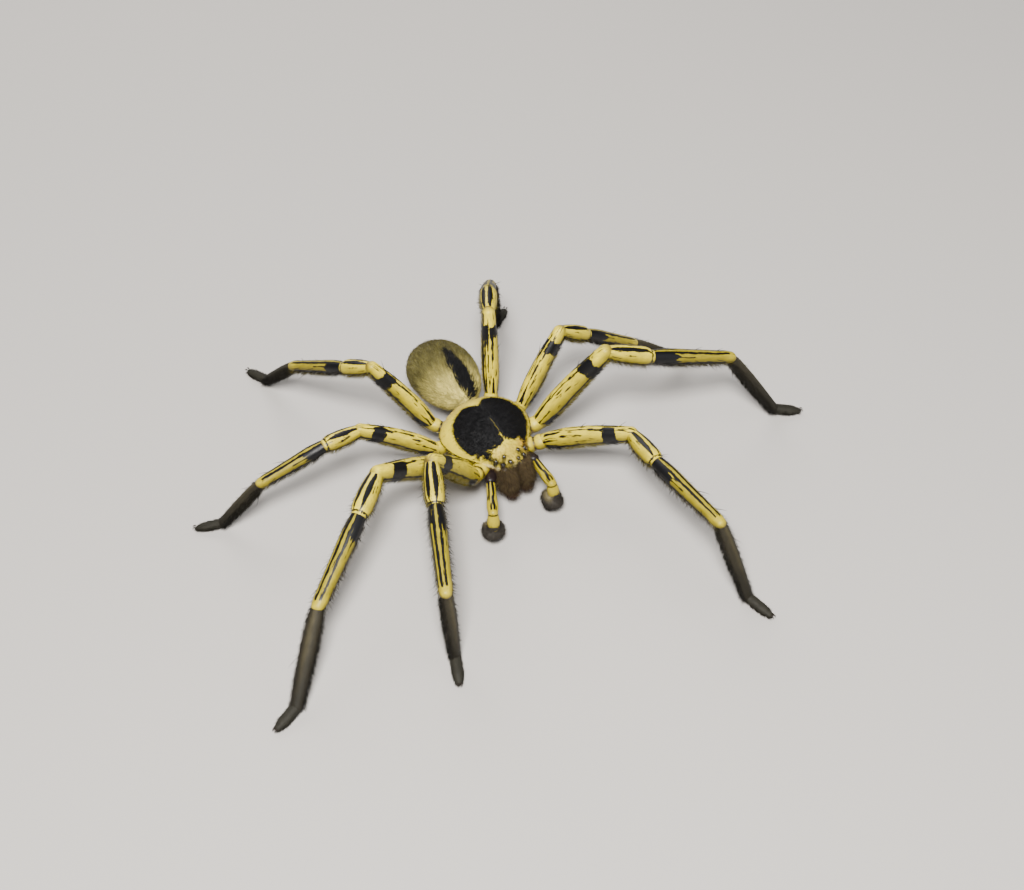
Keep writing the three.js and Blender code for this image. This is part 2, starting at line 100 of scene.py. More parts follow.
half = FLOOR_SIZE / 2
floor_mesh = bpy.data.meshes.new("floor")
floor_corners = [(-half, -half, 0), (half, -half, 0), (half, half, 0), (-half, half, 0)]
floor_mesh.from_pydata([(x, y, -FLOOR_DROP * MM) for x, y, _ in floor_corners], [], [(0, 1, 2, 3)])
floor = bpy.data.objects.new("floor", floor_mesh)
bpy.context.scene.collection.objects.link(floor)
floor_mesh.materials.append(plain_material("floor_paint", FLOOR_COLOR, FLOOR_ROUGH))
for lamp_name, lamp in LAMPS.items():
    lamp_data = bpy.data.lights.new(lamp_name, "AREA")
    lamp_data.size = lamp["size"]
    lamp_data.energy = lamp["power"]
    lamp_data.color = lamp["color"]
    lamp_object = bpy.data.objects.new(lamp_name, lamp_data)
    bpy.context.scene.collection.objects.link(lamp_object)
    lamp_object.location = in_frame(lamp["at"])
    aim = Vector(in_frame(LOOKED_AT)) - lamp_object.location
    lamp_object.rotation_euler = aim.to_track_quat("-Z", "Y").to_euler()
world = bpy.data.worlds.new("studio")
world.use_nodes = True
world.node_tree.nodes["Background"].inputs["Color"].default_value = SURROUND
world.node_tree.nodes["Background"].inputs["Strength"].default_value = SURROUND_STRENGTH
bpy.context.scene.world = world


# Carapace and sternum: one domed shield of cuticle with a blunt head, low furrows that run in to a short
# dent in its middle, and the breastplate below. Its sections are rings carried from the head to the back.
CARAPACE_LENGTH = 12.45
CARAPACE_WIDTH = 12.7
CARAPACE_TOP = 10.8
DOME_POWER = 1.5
RIM_HEIGHT = 7.4
RIM_THICKNESS = 0.6
STERNUM_HEIGHT = 3.5
STERNUM_HALF_WIDTH = 3.1
HALF_WIDTHS = [(0, 0.3), (0.02, 0.34), (0.08, 0.44), (0.2, 0.64), (0.36, 0.88), (0.55, 1), (0.72, 0.96),
               (0.86, 0.76), (0.95, 0.5), (1, 0.3)]
TOPS = [(0, 0.0), (0.04, 0.14), (0.1, 0.34), (0.2, 0.6), (0.36, 0.88), (0.55, 1), (0.72, 0.94),
        (0.88, 0.66), (0.96, 0.34), (1, 0.1)]
RIM_LIFTS = [(0, -1.1), (0.12, -0.7), (0.3, 0), (0.8, 0), (1, -0.2)]
COAT_DEPTH = 0.08
CREAM = (0.7, 0.56, 0.035)
YELLOW = (0.42, 0.33, 0.012)
# The olive laid on the undersides of the legs and palps: partly their duskier colour, partly painted shade.
OLIVE_SHADE = (0.085, 0.072, 0.008)
BROWN = (0.085, 0.05, 0.018)
BLACK = (0.004, 0.004, 0.005)
HEAD_YELLOW = (0.6, 0.46, 0.06)
# The amber is a painted reflection: the reddish shine of the eyes on the spider's left side.
EYESHINE_AMBER = (0.5, 0.22, 0.03)
VISOR_CREAM = (0.85, 0.75, 0.36)
BACK_OCHRE = (0.42, 0.32, 0.12)
BELLY_BROWN = (0.1105, 0.065, 0.0234)


def smooth_between(value, start, end):
    """0 below start, 1 above end, and an S-shaped rise between them."""
    part = np.clip((np.asarray(value, float) - start) / (end - start), 0, 1)
    return part * part * (3 - 2 * part)


def eased(profile, share):
    """A value read from (share, value) pairs: the mean of a straight and an S-shaped way between them."""
    shares, values = np.array(profile, float).T
    share = np.asarray(share, float)
    after = np.clip(np.searchsorted(shares, share), 1, len(shares) - 1)
    part = np.clip((share - shares[after - 1]) / (shares[after] - shares[after - 1]), 0, 1)
    part = (part + part * part * (3 - 2 * part)) / 2
    return values[after - 1] + (values[after] - values[after - 1]) * part


def flowing(profile, share):
    """A smooth curve through (share, value) pairs, with slopes taken from the neighbouring pairs."""
    shares, values = np.array(profile, float).T
    slopes = np.gradient(values, shares)
    share = np.clip(np.asarray(share, float), shares[0], shares[-1])
    after = np.clip(np.searchsorted(shares, share), 1, len(shares) - 1)
    wide = shares[after] - shares[after - 1]
    t = (share - shares[after - 1]) / wide
    start = (1 + 2 * t) * (1 - t) ** 2 * values[after - 1] + t * (1 - t) ** 2 * wide * slopes[after - 1]
    end = t * t * (3 - 2 * t) * values[after] - t * t * (1 - t) * wide * slopes[after]
    return start + end


def value_noise(points, size, seed):
    """Noise from -1 to 1: a random number at each point of a lattice, blended smoothly in between."""
    spots = np.asarray(points, float) / size
    corner = np.floor(spots)
    blend = spots - corner
    blend = blend * blend * (3 - 2 * blend)
    total = np.zeros(spots.shape[:-1])
    for dx, dy, dz in np.ndindex(2, 2, 2):
        key = (corner[..., 0] + dx) * 127.1 + (corner[..., 1] + dy) * 311.7 + (corner[..., 2] + dz) * 74.7
        draw = np.sin(key + seed * 19.19) * 43758.5453
        weight = np.where(dx, blend[..., 0], 1 - blend[..., 0])
        weight = weight * np.where(dy, blend[..., 1], 1 - blend[..., 1])
        weight = weight * np.where(dz, blend[..., 2], 1 - blend[..., 2])
        total += weight * (draw - np.floor(draw))
    return total * 2 - 1


def noise_places(*axes):
    """Places for the noise, from a value or an array for each of their three axes."""
    return np.stack(np.broadcast_arrays(*axes), -1)


def unit(vectors):
    """Vectors of length 1 that point the same way."""
    return vectors / np.maximum(np.linalg.norm(vectors, axis=-1, keepdims=True), 1e-12)


def toward(tone, color, weight):
    """Colours moved towards one colour, by a weight for each point."""
    return tone + (np.array(color) - tone) * weight[..., None]


def tube_skin(rings, first, last, lie, **fields):
    """A closed skin over rings of points from pole to pole. It holds the points and triangles, a corner map
    with the way round and the way along each ring, the normals, the lie of the hair and other fields. Faces
    are turned where the volume they enclose is negative, so that they all look outward."""
    rows, around = rings.shape[:2]
    points = np.vstack([first[None], rings.reshape(-1, 3), last[None]])
    row = np.repeat(np.arange(rows - 1), around)
    column = np.tile(np.arange(around), rows - 1)
    right = (column + 1) % around
    a, b = 1 + row * around + column, 1 + row * around + right
    c, d = b + around, a + around
    step = 1 / (rows + 1)
    quads = np.stack([a, b, c, d], -1)
    quad_uv = np.stack([(column[:, None] + (0, 1, 1, 0)) / around, (row[:, None] + (1, 1, 2, 2)) * step], -1)
    turn = np.arange(around)
    near, next_near = 1 + turn, 1 + (turn + 1) % around
    far, next_far = near + (rows - 1) * around, next_near + (rows - 1) * around
    tail = np.full(around, len(points) - 1)
    front_v = np.broadcast_to((0, step, step), (around, 3))
    front_uv = np.stack([(turn[:, None] + (0.5, 1, 0)) / around, front_v], -1)
    back_uv = np.stack([(turn[:, None] + (0.5, 0, 1)) / around, 1 - front_v], -1)
    faces = np.vstack([quads[:, [0, 1, 2]], quads[:, [0, 2, 3]], np.stack([0 * near, next_near, near], -1),
                       np.stack([tail, far, next_far], -1)])
    corner_uv = np.concatenate([quad_uv[:, [0, 1, 2]], quad_uv[:, [0, 2, 3]], front_uv, back_uv])
    a, b, c = (points[faces[:, corner]] - points.mean(0) for corner in range(3))
    if np.einsum("ij,ij->", a, np.cross(b, c)) < 0:
        faces, corner_uv = faces[:, ::-1], corner_uv[:, ::-1]
    sides = np.cross(points[faces[:, 1]] - points[faces[:, 0]], points[faces[:, 2]] - points[faces[:, 0]])
    normals = np.zeros_like(points)
    for corner in range(3):
        np.add.at(normals, faces[:, corner], sides)
    skin = {"points": points, "faces": faces, "uv": corner_uv, "tile": corner_uv, "normal": unit(normals)}
    skin["lie"] = np.broadcast_to(lie, points.shape) if np.ndim(lie) == 1 else lie
    for name, field in fields.items():
        wanted = (len(points),) + np.shape(field)[1:] if np.ndim(field) else (len(points),)
        skin[name] = np.broadcast_to(field, wanted).astype(float)
    return skin


def over_rings(rings, first, last):
    """The points of a skin in the order that tube_skin puts them in."""
    return np.vstack([first[None], rings.reshape(-1, 3), last[None]])


def per_point(first, ring_values, around, last):
    """One value per ring given to all its points, between the values of the two poles."""
    return np.concatenate([[first], np.repeat(ring_values, around), [last]])


def joined(skins):
    """Several closed skins as one, each kept whole, with a strip of the hair's map of its own."""
    starts = np.cumsum([0] + [len(skin["points"]) for skin in skins[:-1]])
    whole = {key: np.concatenate([skin[key] for skin in skins]) for key in skins[0] if key != "faces"}
    whole["faces"] = np.concatenate([skin["faces"] + start for skin, start in zip(skins, starts)])
    strips = [(skin["tile"] + (0, index)) / (1, len(skins)) for index, skin in enumerate(skins)]
    whole["tile"] = np.concatenate(strips)
    return whole


def mesh_object(name, points, faces, corner_uv, uv_name, colors, ink=None):
    """A smooth mesh object at the origin from points in the spider's axes, with its map and its fields."""
    mesh = bpy.data.meshes.new(name)
    mesh.vertices.add(len(points))
    mesh.vertices.foreach_set("co", in_frame(points).astype(np.float32).ravel())
    mesh.loops.add(faces.size)
    mesh.loops.foreach_set("vertex_index", faces.astype(np.int32).ravel())
    mesh.polygons.add(len(faces))
    mesh.polygons.foreach_set("loop_start", np.arange(0, faces.size, 3, dtype=np.int32))
    mesh.update(calc_edges=True)
    mesh.polygons.foreach_set("use_smooth", np.ones(len(faces), bool))
    layer = mesh.uv_layers.new(name=uv_name)
    layer.data.foreach_set("uv", corner_uv.astype(np.float32).ravel())
    tone = mesh.attributes.new("tone", "FLOAT_COLOR", "POINT")
    tone.data.foreach_set("color", np.hstack([colors, np.ones((len(points), 1))]).astype(np.float32).ravel())
    if ink is not None:
        field = mesh.attributes.new("ink", "FLOAT", "POINT")
        field.data.foreach_set("value", ink.astype(np.float32))
    piece = bpy.data.objects.new(name, mesh)
    bpy.context.scene.collection.objects.link(piece)
    return piece


def placed(piece, material, replaced=()):
    """Gives a piece its material, its body and the CAD nodes that it stands for."""
    piece.data.materials.append(material)
    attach(piece, "root")
    if replaced:
        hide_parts(*replaced)


def skin_object(name, skin, material, replaced):
    """The piece of a marked skin, in place of the CAD nodes that it stands for."""
    piece = mesh_object(name, skin["points"], skin["faces"], skin["uv"], "Lay", skin["tone"], skin["ink"])
    placed(piece, material, replaced)


def shell_object(name, skin, material, replaced=()):
    """The piece of a smooth shell without marks, such as a claw or a lens."""
    piece = mesh_object(name, skin["points"], skin["faces"], skin["uv"], "Lay", skin["tone"])
    placed(piece, material, replaced)


def math_node(tree, operation, *operands):
    """The output of a maths node, whose operands are numbers or the outputs of other nodes."""
    node = tree.nodes.new("ShaderNodeMath")
    node.operation = operation
    for socket, operand in zip(node.inputs, operands):
        if isinstance(operand, float):
            socket.default_value = operand
        else:
            tree.links.new(operand, socket)
    return node.outputs["Value"]


def marks_group():
    """Colour, mask and height of a marked, hairy cuticle. The ink field is how deep a spot lies inside a
    black mark, in millimetres. Fine noise along the hair frays the edge of the mark."""
    group = bpy.data.node_groups.new("cuticle_marks", "ShaderNodeTree")
    for title, kind, value in (("Fray", "NodeSocketFloat", 0.08), ("Hair Along", "NodeSocketFloat", 60.0),
                               ("Hair Across", "NodeSocketFloat", 60.0), ("Mottle", "NodeSocketFloat", 0.2)):
        socket = group.interface.new_socket(title, in_out="INPUT", socket_type=kind)
        socket.default_value = value
    mark_socket = group.interface.new_socket("Mark Color", in_out="INPUT", socket_type="NodeSocketColor")
    mark_socket.default_value = (*BLACK, 1.0)
    results = (("Color", "NodeSocketColor"), ("Mask", "NodeSocketFloat"), ("Height", "NodeSocketFloat"))
    for title, kind in results:
        group.interface.new_socket(title, in_out="OUTPUT", socket_type=kind)
    nodes, links = group.nodes, group.links
    inputs, outputs = nodes.new("NodeGroupInput"), nodes.new("NodeGroupOutput")
    tone, ink = nodes.new("ShaderNodeAttribute"), nodes.new("ShaderNodeAttribute")
    lay = nodes.new("ShaderNodeUVMap")
    tone.attribute_name = "tone"
    ink.attribute_name = "ink"
    lay.uv_map = "Lay"
    scale = nodes.new("ShaderNodeCombineXYZ")
    links.new(inputs.outputs["Hair Across"], scale.inputs["X"])
    links.new(inputs.outputs["Hair Along"], scale.inputs["Y"])
    stretched = nodes.new("ShaderNodeVectorMath")
    stretched.operation = "MULTIPLY"
    links.new(lay.outputs["UV"], stretched.inputs[0])
    links.new(scale.outputs["Vector"], stretched.inputs[1])
    hair = nodes.new("ShaderNodeTexNoise")
    hair.inputs["Scale"].default_value = 1.0
    hair.inputs["Detail"].default_value = 3.0
    links.new(stretched.outputs["Vector"], hair.inputs["Vector"])
    place = nodes.new("ShaderNodeTexCoord")
    mottle = nodes.new("ShaderNodeTexNoise")
    mottle.inputs["Scale"].default_value = 900.0
    mottle.inputs["Detail"].default_value = 2.0
    links.new(place.outputs["Object"], mottle.inputs["Vector"])
    centred = math_node(group, "SUBTRACT", hair.outputs["Fac"], 0.5)
    frayed = math_node(group, "MULTIPLY_ADD", centred, inputs.outputs["Fray"], ink.outputs["Fac"])
    mask = nodes.new("ShaderNodeMapRange")
    mask.interpolation_type = "SMOOTHSTEP"
    mask.inputs["From Min"].default_value = -0.03
    mask.inputs["From Max"].default_value = 0.03
    links.new(frayed, mask.inputs["Value"])
    light = math_node(group, "ADD", hair.outputs["Fac"], mottle.outputs["Fac"])
    shade = math_node(group, "SUBTRACT", light, 1.0)
    gain = math_node(group, "MULTIPLY_ADD", shade, inputs.outputs["Mottle"], 1.0)
    varied = nodes.new("ShaderNodeVectorMath")
    varied.operation = "SCALE"
    links.new(tone.outputs["Color"], varied.inputs[0])
    links.new(gain, varied.inputs["Scale"])
    mixed = nodes.new("ShaderNodeMix")
    mixed.data_type = "RGBA"
    links.new(mask.outputs["Result"], mixed.inputs["Factor"])
    links.new(varied.outputs["Vector"], mixed.inputs["A"])
    links.new(inputs.outputs["Mark Color"], mixed.inputs["B"])
    links.new(mixed.outputs["Result"], outputs.inputs["Color"])
    links.new(mask.outputs["Result"], outputs.inputs["Mask"])
    links.new(hair.outputs["Fac"], outputs.inputs["Height"])
    return group


MARKS = marks_group()


def cuticle(name, rough, marked_rough, bump, settings, sheen=0.0):
    """A material of marked cuticle: the marks group feeds the colour, the roughness and a fine bump."""
    material = bpy.data.materials.new(name)
    material.use_nodes = True
    nodes, links = material.node_tree.nodes, material.node_tree.links
    shader = nodes["Principled BSDF"]
    marks = nodes.new("ShaderNodeGroup")
    marks.node_tree = MARKS
    for title, value in settings.items():
        marks.inputs[title].default_value = value
    links.new(marks.outputs["Color"], shader.inputs["Base Color"])
    polish = nodes.new("ShaderNodeMapRange")
    polish.inputs["To Min"].default_value = rough
    polish.inputs["To Max"].default_value = marked_rough
    links.new(marks.outputs["Mask"], polish.inputs["Value"])
    links.new(polish.outputs["Result"], shader.inputs["Roughness"])
    relief = nodes.new("ShaderNodeBump")
    relief.inputs["Strength"].default_value = bump
    relief.inputs["Distance"].default_value = 0.00006
    links.new(marks.outputs["Height"], relief.inputs["Height"])
    links.new(relief.outputs["Normal"], shader.inputs["Normal"])
    shader.inputs["Specular IOR Level"].default_value = 0.32
    shader.inputs["Sheen Weight"].default_value = sheen
    return material


def prosoma_rings(shares, angles, grow=0.0):
    """Rings of the carapace and sternum: over each half width a dome to a power of its sine, and under it
    the rim's thickness and the sternum, which drops with a smooth step."""
    share, angle = np.meshgrid(shares, angles, indexing="ij")
    back = CARAPACE_MIDDLE + (share - 0.5) * (CARAPACE_LENGTH + 2 * grow)
    rim = RIM_HEIGHT + eased(RIM_LIFTS, share)
    half_width = flowing(HALF_WIDTHS, share) * CARAPACE_WIDTH / 2 + grow
    top = flowing(TOPS, share) * (CARAPACE_TOP - RIM_HEIGHT) + (RIM_HEIGHT - rim) + grow
    aside = half_width * np.cos(angle)
    over = np.maximum(np.sin(angle), 0)
    under = np.maximum(-np.sin(angle), 0)
    height = rim + top * over ** DOME_POWER
    reach = STERNUM_HALF_WIDTH * np.sin(np.pi * np.clip(share * 1.04 - 0.02, 0, 1)) ** 0.4 + grow
    core = 1 - smooth_between(np.abs(aside), reach - 0.3, reach + 0.5)
    fore_and_aft = smooth_between(share, 0.06, 0.22) * (1 - smooth_between(share, 0.84, 0.97))
    drop = RIM_THICKNESS + grow + (rim - RIM_THICKNESS - STERNUM_HEIGHT) * core * fore_and_aft
    height = np.where(under > 0, rim - drop * np.minimum(1, 3 * under), height)
    return np.stack([aside, back, height], -1)


def dome_relief(points):
    """How far the furrows and the dent press the top in, in millimetres: five pairs of soft rays that run
    out from the dent, and the groove on each side that sets the head off."""
    x, y = points[..., 0], points[..., 1]
    distance = np.hypot(x, y - 1.0)
    bearing = np.degrees(np.arctan2(np.abs(x), -(y - 1.0)))
    rays = sum(np.exp(-((bearing - turn) / 7.0) ** 2) for turn in (38, 68, 98, 128, 155))
    spread = smooth_between(distance, 0.8, 2.4) * (1 - smooth_between(distance, 4.6, 5.8))
    dent = np.exp(-(x / 0.22) ** 2 - ((y - 1.2) / 0.8) ** 2)
    return 0.09 * rays * spread + 0.25 * dent


PATCH_RADIUS = 3.85
PATCH_LOBES = (1.3, -0.7)
PATCH_FRONT = (2.7, -4.3)
FORK = ((3.0, -3.9), (2.45, -5.3))
EYES = {
    "front_median": {"at": (0.62, -6.4), "radius": 0.31},
    "front_lateral": {"at": (1.65, -6.12), "radius": 0.35},
    "rear_median": {"at": (1.12, -5.6), "radius": 0.28},
    "rear_lateral": {"at": (2.3, -5.35), "radius": 0.33},
}


def carapace_ink(points):
    """Depth inside the black patch: two round lobes with a notch behind, a frayed front edge, a fork to the
    eyes on each side and a pale line down the middle."""
    x, y, z = points[..., 0], points[..., 1], points[..., 2]
    side = np.abs(x)
    lobes = PATCH_RADIUS - np.hypot((side - PATCH_LOBES[0]) * 0.98, y - PATCH_LOBES[1])
    lobes = lobes - 0.8 * np.exp(-(x / 0.8) ** 2) * smooth_between(y, 0.5, 2.5)
    brow = np.minimum(PATCH_FRONT[0] - side, y - PATCH_FRONT[1] - 0.28 * np.cos(x * 1.1)) - 9 * (y > -1)
    ragged = value_noise(points * (1, 0.3, 1), 0.28, 3) * 0.4 + value_noise(points, 0.9, 5) * 0.25
    lobes = np.maximum(lobes, brow) + ragged * (0.3 + 0.7 * smooth_between(-y, 1.5, 4.0))
    (ax, ay), (bx, by) = FORK
    run = np.clip(((side - ax) * (bx - ax) + (y - ay) * (by - ay)) / ((bx - ax) ** 2 + (by - ay) ** 2), 0, 1)
    gap = np.hypot(side - ax - run * (bx - ax), y - ay - run * (by - ay))
    fork = 0.3 - 0.12 * run - gap + ragged * 0.3
    line = np.abs(x + 0.05 * value_noise(points, 0.8, 8)) - 0.09
    line = np.where((y < -0.6), np.minimum(line, 1.0), 1.0)
    ink = np.minimum(np.maximum(lobes, fork), np.where(line < 0.06, line, 9.0))
    for eye in EYES.values():
        ring = eye["radius"] + 0.02 - np.hypot(side - eye["at"][0], y - eye["at"][1])
        ink = np.maximum(ink, ring + 0.05 * value_noise(points, 0.25, 10))
    share = (y - CARAPACE_MIDDLE) / CARAPACE_LENGTH + 0.5
    edge = z - RIM_HEIGHT - eased(RIM_LIFTS, share)
    rim_line = 0.16 - np.abs(edge + 0.12) + 0.06 * value_noise(points, 0.6, 9)
    rim_line = np.where(y > -4.6, rim_line, -1.0)
    return np.where(edge > -0.5, np.maximum(np.where(edge > 0, ink, -1.0), rim_line), -1.0)


def carapace_tone(points):
    """Cream at the sides and the clypeus, deeper yellow on the head, ochre at the back, brown below."""
    x, y, z = points[..., 0], points[..., 1], points[..., 2]
    tone = np.broadcast_to(CREAM, points.shape)
    head = smooth_between(-y, 4.0, 5.6) * smooth_between(z, 6.9, 7.4)
    tone = toward(tone, HEAD_YELLOW, head * 0.8)
    # Painted reflection: amber beside the eyes on the left side only, for their reddish shine.
    eyeshine = np.exp(-((x - 2.5) / 0.7) ** 2 - ((y + 4.9) / 0.8) ** 2)
    tone = toward(tone, EYESHINE_AMBER, eyeshine * 0.7)
    edge = z - RIM_HEIGHT - eased(RIM_LIFTS, (y - CARAPACE_MIDDLE) / CARAPACE_LENGTH + 0.5)
    visor = smooth_between(-y, 3.8, 5.4) * (1 - smooth_between(edge, 0.15, 0.5))
    visor = visor * smooth_between(edge, -0.5, -0.3)
    tone = toward(tone, VISOR_CREAM, visor)
    behind = smooth_between(y, 2.6, 4.6)
    tone = toward(tone, BACK_OCHRE, behind * 0.6)
    below = smooth_between(-z, -RIM_HEIGHT + 0.35, -RIM_HEIGHT + 0.9) * smooth_between(y, -6.2, -5.6)
    tone = toward(tone, BELLY_BROWN, below)
    return tone * (1 + 0.12 * value_noise(points, 1.3, 12))[..., None]


shares = 0.5 - 0.5 * np.cos(np.linspace(0.02, 0.98, 110) * np.pi)
angles = np.linspace(0, 2 * np.pi, 168, endpoint=False)
rings = prosoma_rings(shares, angles, -COAT_DEPTH)
rings[..., 2] -= np.where(rings[..., 2] > RIM_HEIGHT, dome_relief(rings), 0)
ends = prosoma_rings(np.array([0.0, 1.0]), angles, -COAT_DEPTH).mean(1)
carapace_points = over_rings(rings, ends[0], ends[1])
top_side = smooth_between(carapace_points[:, 2], RIM_HEIGHT - 0.6, RIM_HEIGHT)
front = smooth_between(-carapace_points[:, 1], 3.6, 5.2)
carapace_ink_field = carapace_ink(carapace_points)
dark = smooth_between(carapace_ink_field, -0.05, 0.05)
outward = np.stack([carapace_points[:, 0] * 0.6, 0.4 + 0 * front, 0 * front], -1)
ahead = np.stack([0.25 * carapace_points[:, 0], -1 + 0 * front, 0.2 + 0 * front], -1)
carapace_lie = unit(outward * (1 - front[:, None]) + ahead * front[:, None])
carapace_skin = tube_skin(
    rings, ends[0], ends[1], carapace_lie, tone=carapace_tone(carapace_points), ink=carapace_ink_field,
    thick=top_side * (0.25 + 1.0 * dark + 0.45 * front) + 0.12, length=0.34 + 0.12 * dark + 0.3 * front,
    lift=24 + 22 * dark + 12 * front)
CARAPACE_CUTICLE = cuticle("carapace_cuticle", 0.42, 0.75, 0.5,
                           {"Fray": 0.5, "Hair Along": 90.0, "Hair Across": 160.0, "Mottle": 0.28})
skin_object("carapace", carapace_skin, CARAPACE_CUTICLE, ["cephalothorax"])

# The coat: each hair is a thin three-sided blade with a bend, rooted in the skin and leaning with its lie.
# It takes the skin's own colour at its root, and all hairs of a part are one closed mesh each.
HAIR_SIDES = 3
PATCH_SIZE = 0.003
CARAPACE_HAIRS = 13500


HAIR = plain_material("hair", BLACK, 0.62)
hair_shader = HAIR.node_tree.nodes["Principled BSDF"]
hair_shader.inputs["Specular IOR Level"].default_value = 0.18
hair_tone = HAIR.node_tree.nodes.new("ShaderNodeAttribute")
hair_tone.attribute_name = "tone"
HAIR.node_tree.links.new(hair_tone.outputs["Color"], hair_shader.inputs["Base Color"])


def rooted(skin, count, seed):
    """Roots spread over a skin: triangles drawn by area times how thick the hair grows there, and a random
    spot in each. Every field of the skin is blended at the spot."""
    random = np.random.default_rng(seed)
    corners = skin["points"][skin["faces"]]
    area = np.linalg.norm(np.cross(corners[:, 1] - corners[:, 0], corners[:, 2] - corners[:, 0]), axis=1)
    weight = area * skin["thick"][skin["faces"]].mean(1)
    chosen = random.choice(len(weight), count, p=weight / weight.sum())
    u, v = random.random(count), random.random(count)
    flip = u + v > 1
    u, v = np.where(flip, 1 - u, u), np.where(flip, 1 - v, v)
    share = np.stack([1 - u - v, u, v], -1)
    picked = skin["faces"][chosen]
    roots = {key: np.einsum("nc,nc...->n...", share, skin[key][picked])
             for key in skin if key not in ("faces", "uv", "tile", "thick")}
    roots["uv"] = np.einsum("nc,nck->nk", share, skin["tile"][chosen])
    roots["random"] = random
    return roots


def hair_object(name, roots, width, curl=0.5, tint=None, wild=0.35, blur=0.03, sides=HAIR_SIDES,
                bends=2):
    """Blades on their roots: rings of the given number of sides that narrow to a tip, carried along a course
    that starts at the lift angle and bends towards the lie."""
    random, count = roots["random"], len(roots["points"])
    normal = unit(roots["normal"])
    lie = roots["lie"] + wild * random.normal(size=(count, 3))
    lie = unit(lie - normal * np.sum(lie * normal, -1, keepdims=True))
    lift = np.radians(roots["lift"] * (1 + 0.25 * random.normal(size=count)))
    lift = np.clip(lift, np.radians(4), np.radians(88))
    length = roots["length"] * (1 + 0.22 * random.normal(size=count)).clip(0.4, 1.6)
    across = unit(np.cross(lie, normal))
    at = roots["points"] - normal * 0.06
    rows = []
    for bend in range(bends + 1):
        share = bend / bends
        angle = lift * (1 - curl * share)
        course = lie * np.cos(angle)[:, None] + normal * np.sin(angle)[:, None]
        if bend:
            at = at + course * (length / bends)[:, None]
        up = np.cross(across, course)
        thick = width * (1 - share) ** 0.7
        if bend < bends:
            turn = 2 * np.pi * np.arange(sides) / sides
            ring = across[:, None] * np.cos(turn)[:, None] + up[:, None] * np.sin(turn)[:, None]
            rows.append(at[:, None] + ring * thick / 2)
        else:
            rows.append(at[:, None])
    points = np.concatenate(rows, 1)
    points[..., 2] -= np.minimum(points[..., 2].min(1), 0)[:, None]
    per_hair = points.shape[1]
    faces = []
    for ring in range(bends - 1):
        for side in range(sides):
            a, b = ring * sides + side, ring * sides + (side + 1) % sides
            faces += [(a, b, b + sides), (a, b + sides, a + sides)]
    top = (bends - 1) * sides
    faces += [(top + side, top + (side + 1) % sides, per_hair - 1) for side in range(sides)]
    faces += [(0, side + 1, side) for side in range(1, sides - 1)]
    faces = np.array(faces)
    whole = (faces[None] + np.arange(count)[:, None, None] * per_hair).reshape(-1, 3)
    blade = points[0] - points[0].mean(0)
    if np.einsum("ij,ij->", blade[faces[:, 0]], np.cross(blade[faces[:, 1]], blade[faces[:, 2]])) < 0:
        whole = whole[:, ::-1]
        faces = faces[:, ::-1]
    spread = np.stack([np.linspace(-1, 1, per_hair), np.cos(np.arange(per_hair) * 2.1)], -1) * PATCH_SIZE / 2
    patch = (roots["uv"][:, None] + spread[None]).clip(0, 1)
    corner_uv = patch[:, faces.ravel()].reshape(-1, 2)
    mask = smooth_between(roots["ink"] + blur * random.normal(size=count), -0.04, 0.04)[:, None]
    tone = roots["tone"] * (1 - mask) + np.array(BLACK) * mask
    if tint is not None:
        tone = np.where(random.random((count, 1)) < 0.3, np.array(tint), tone)
    tone = tone * (1 + 0.32 * random.normal(size=(count, 1))).clip(0.35, 2.0)
    tones = np.repeat(tone, per_hair, axis=0)
    piece = mesh_object(name, points.reshape(-1, 3), whole, corner_uv, "OFBake", tones)
    placed(piece, HAIR)


hair_object("carapace_coat", rooted(carapace_skin, CARAPACE_HAIRS, 11), 0.055, curl=0.45,
            blur=0.12)


# Abdomen: a soft egg of skin under velvety hair that lies backwards, cream in front and olive behind, with a
# black stripe down its back. A short narrow stalk joins it to the carapace.
ABDOMEN_AT = np.array([1.6, 12.7, 6.5])
ABDOMEN_LENGTH = 13.4
ABDOMEN_WIDTH = 9.2
ABDOMEN_DEPTH = 7.2
ABDOMEN_YAW = math.radians(8)
ABDOMEN_PITCH = math.radians(-8)
abdomen_axis = np.array([math.cos(ABDOMEN_PITCH) * math.sin(ABDOMEN_YAW),
                         math.cos(ABDOMEN_PITCH) * math.cos(ABDOMEN_YAW), math.sin(ABDOMEN_PITCH)])
abdomen_side = unit(np.cross((0, 0, 1), abdomen_axis))
abdomen_up = np.cross(abdomen_axis, abdomen_side)
STRIPE = [(0.0, 0.5), (0.05, 0.95), (0.12, 1.2), (0.26, 1.2), (0.4, 0.95), (0.52, 0.6), (0.6, 0.3),
          (0.65, 0.0)]
STRIPE_ASIDE = -0.9
STRIPE_END = 0.65
ABDOMEN_HAIRS = 17500
ABDOMEN_OLIVE = (0.14, 0.122, 0.036)
ABDOMEN_CREAM = (0.7, 0.6, 0.17)
ABDOMEN_REAR = (0.14, 0.12, 0.042)
ABDOMEN_LOW = (0.2, 0.135, 0.055)


def egg_rings(turns, angles, grow=0.0):
    """Rings of an egg: the sine of the turn to a power, fuller behind, a little flat above."""
    turn, angle = np.meshgrid(turns, angles, indexing="ij")
    girth = np.sin(turn) ** 0.9 * (1 - 0.1 * np.cos(turn))
    flat = np.where(np.sin(angle) < 0, 0.92, 1.0)
    along = -np.cos(turn) * (ABDOMEN_LENGTH / 2 + grow)
    across = girth * np.cos(angle) * (ABDOMEN_WIDTH / 2 + grow)
    above = girth * np.sin(angle) * flat * (ABDOMEN_DEPTH / 2 + grow)
    return (ABDOMEN_AT + along[..., None] * abdomen_axis + across[..., None] * abdomen_side
            + above[..., None] * abdomen_up)


def abdomen_places(points):
    """Share along the abdomen, and millimetres aside and above its middle."""
    away = points - ABDOMEN_AT
    return away @ abdomen_axis / ABDOMEN_LENGTH + 0.5, away @ abdomen_side, away @ abdomen_up


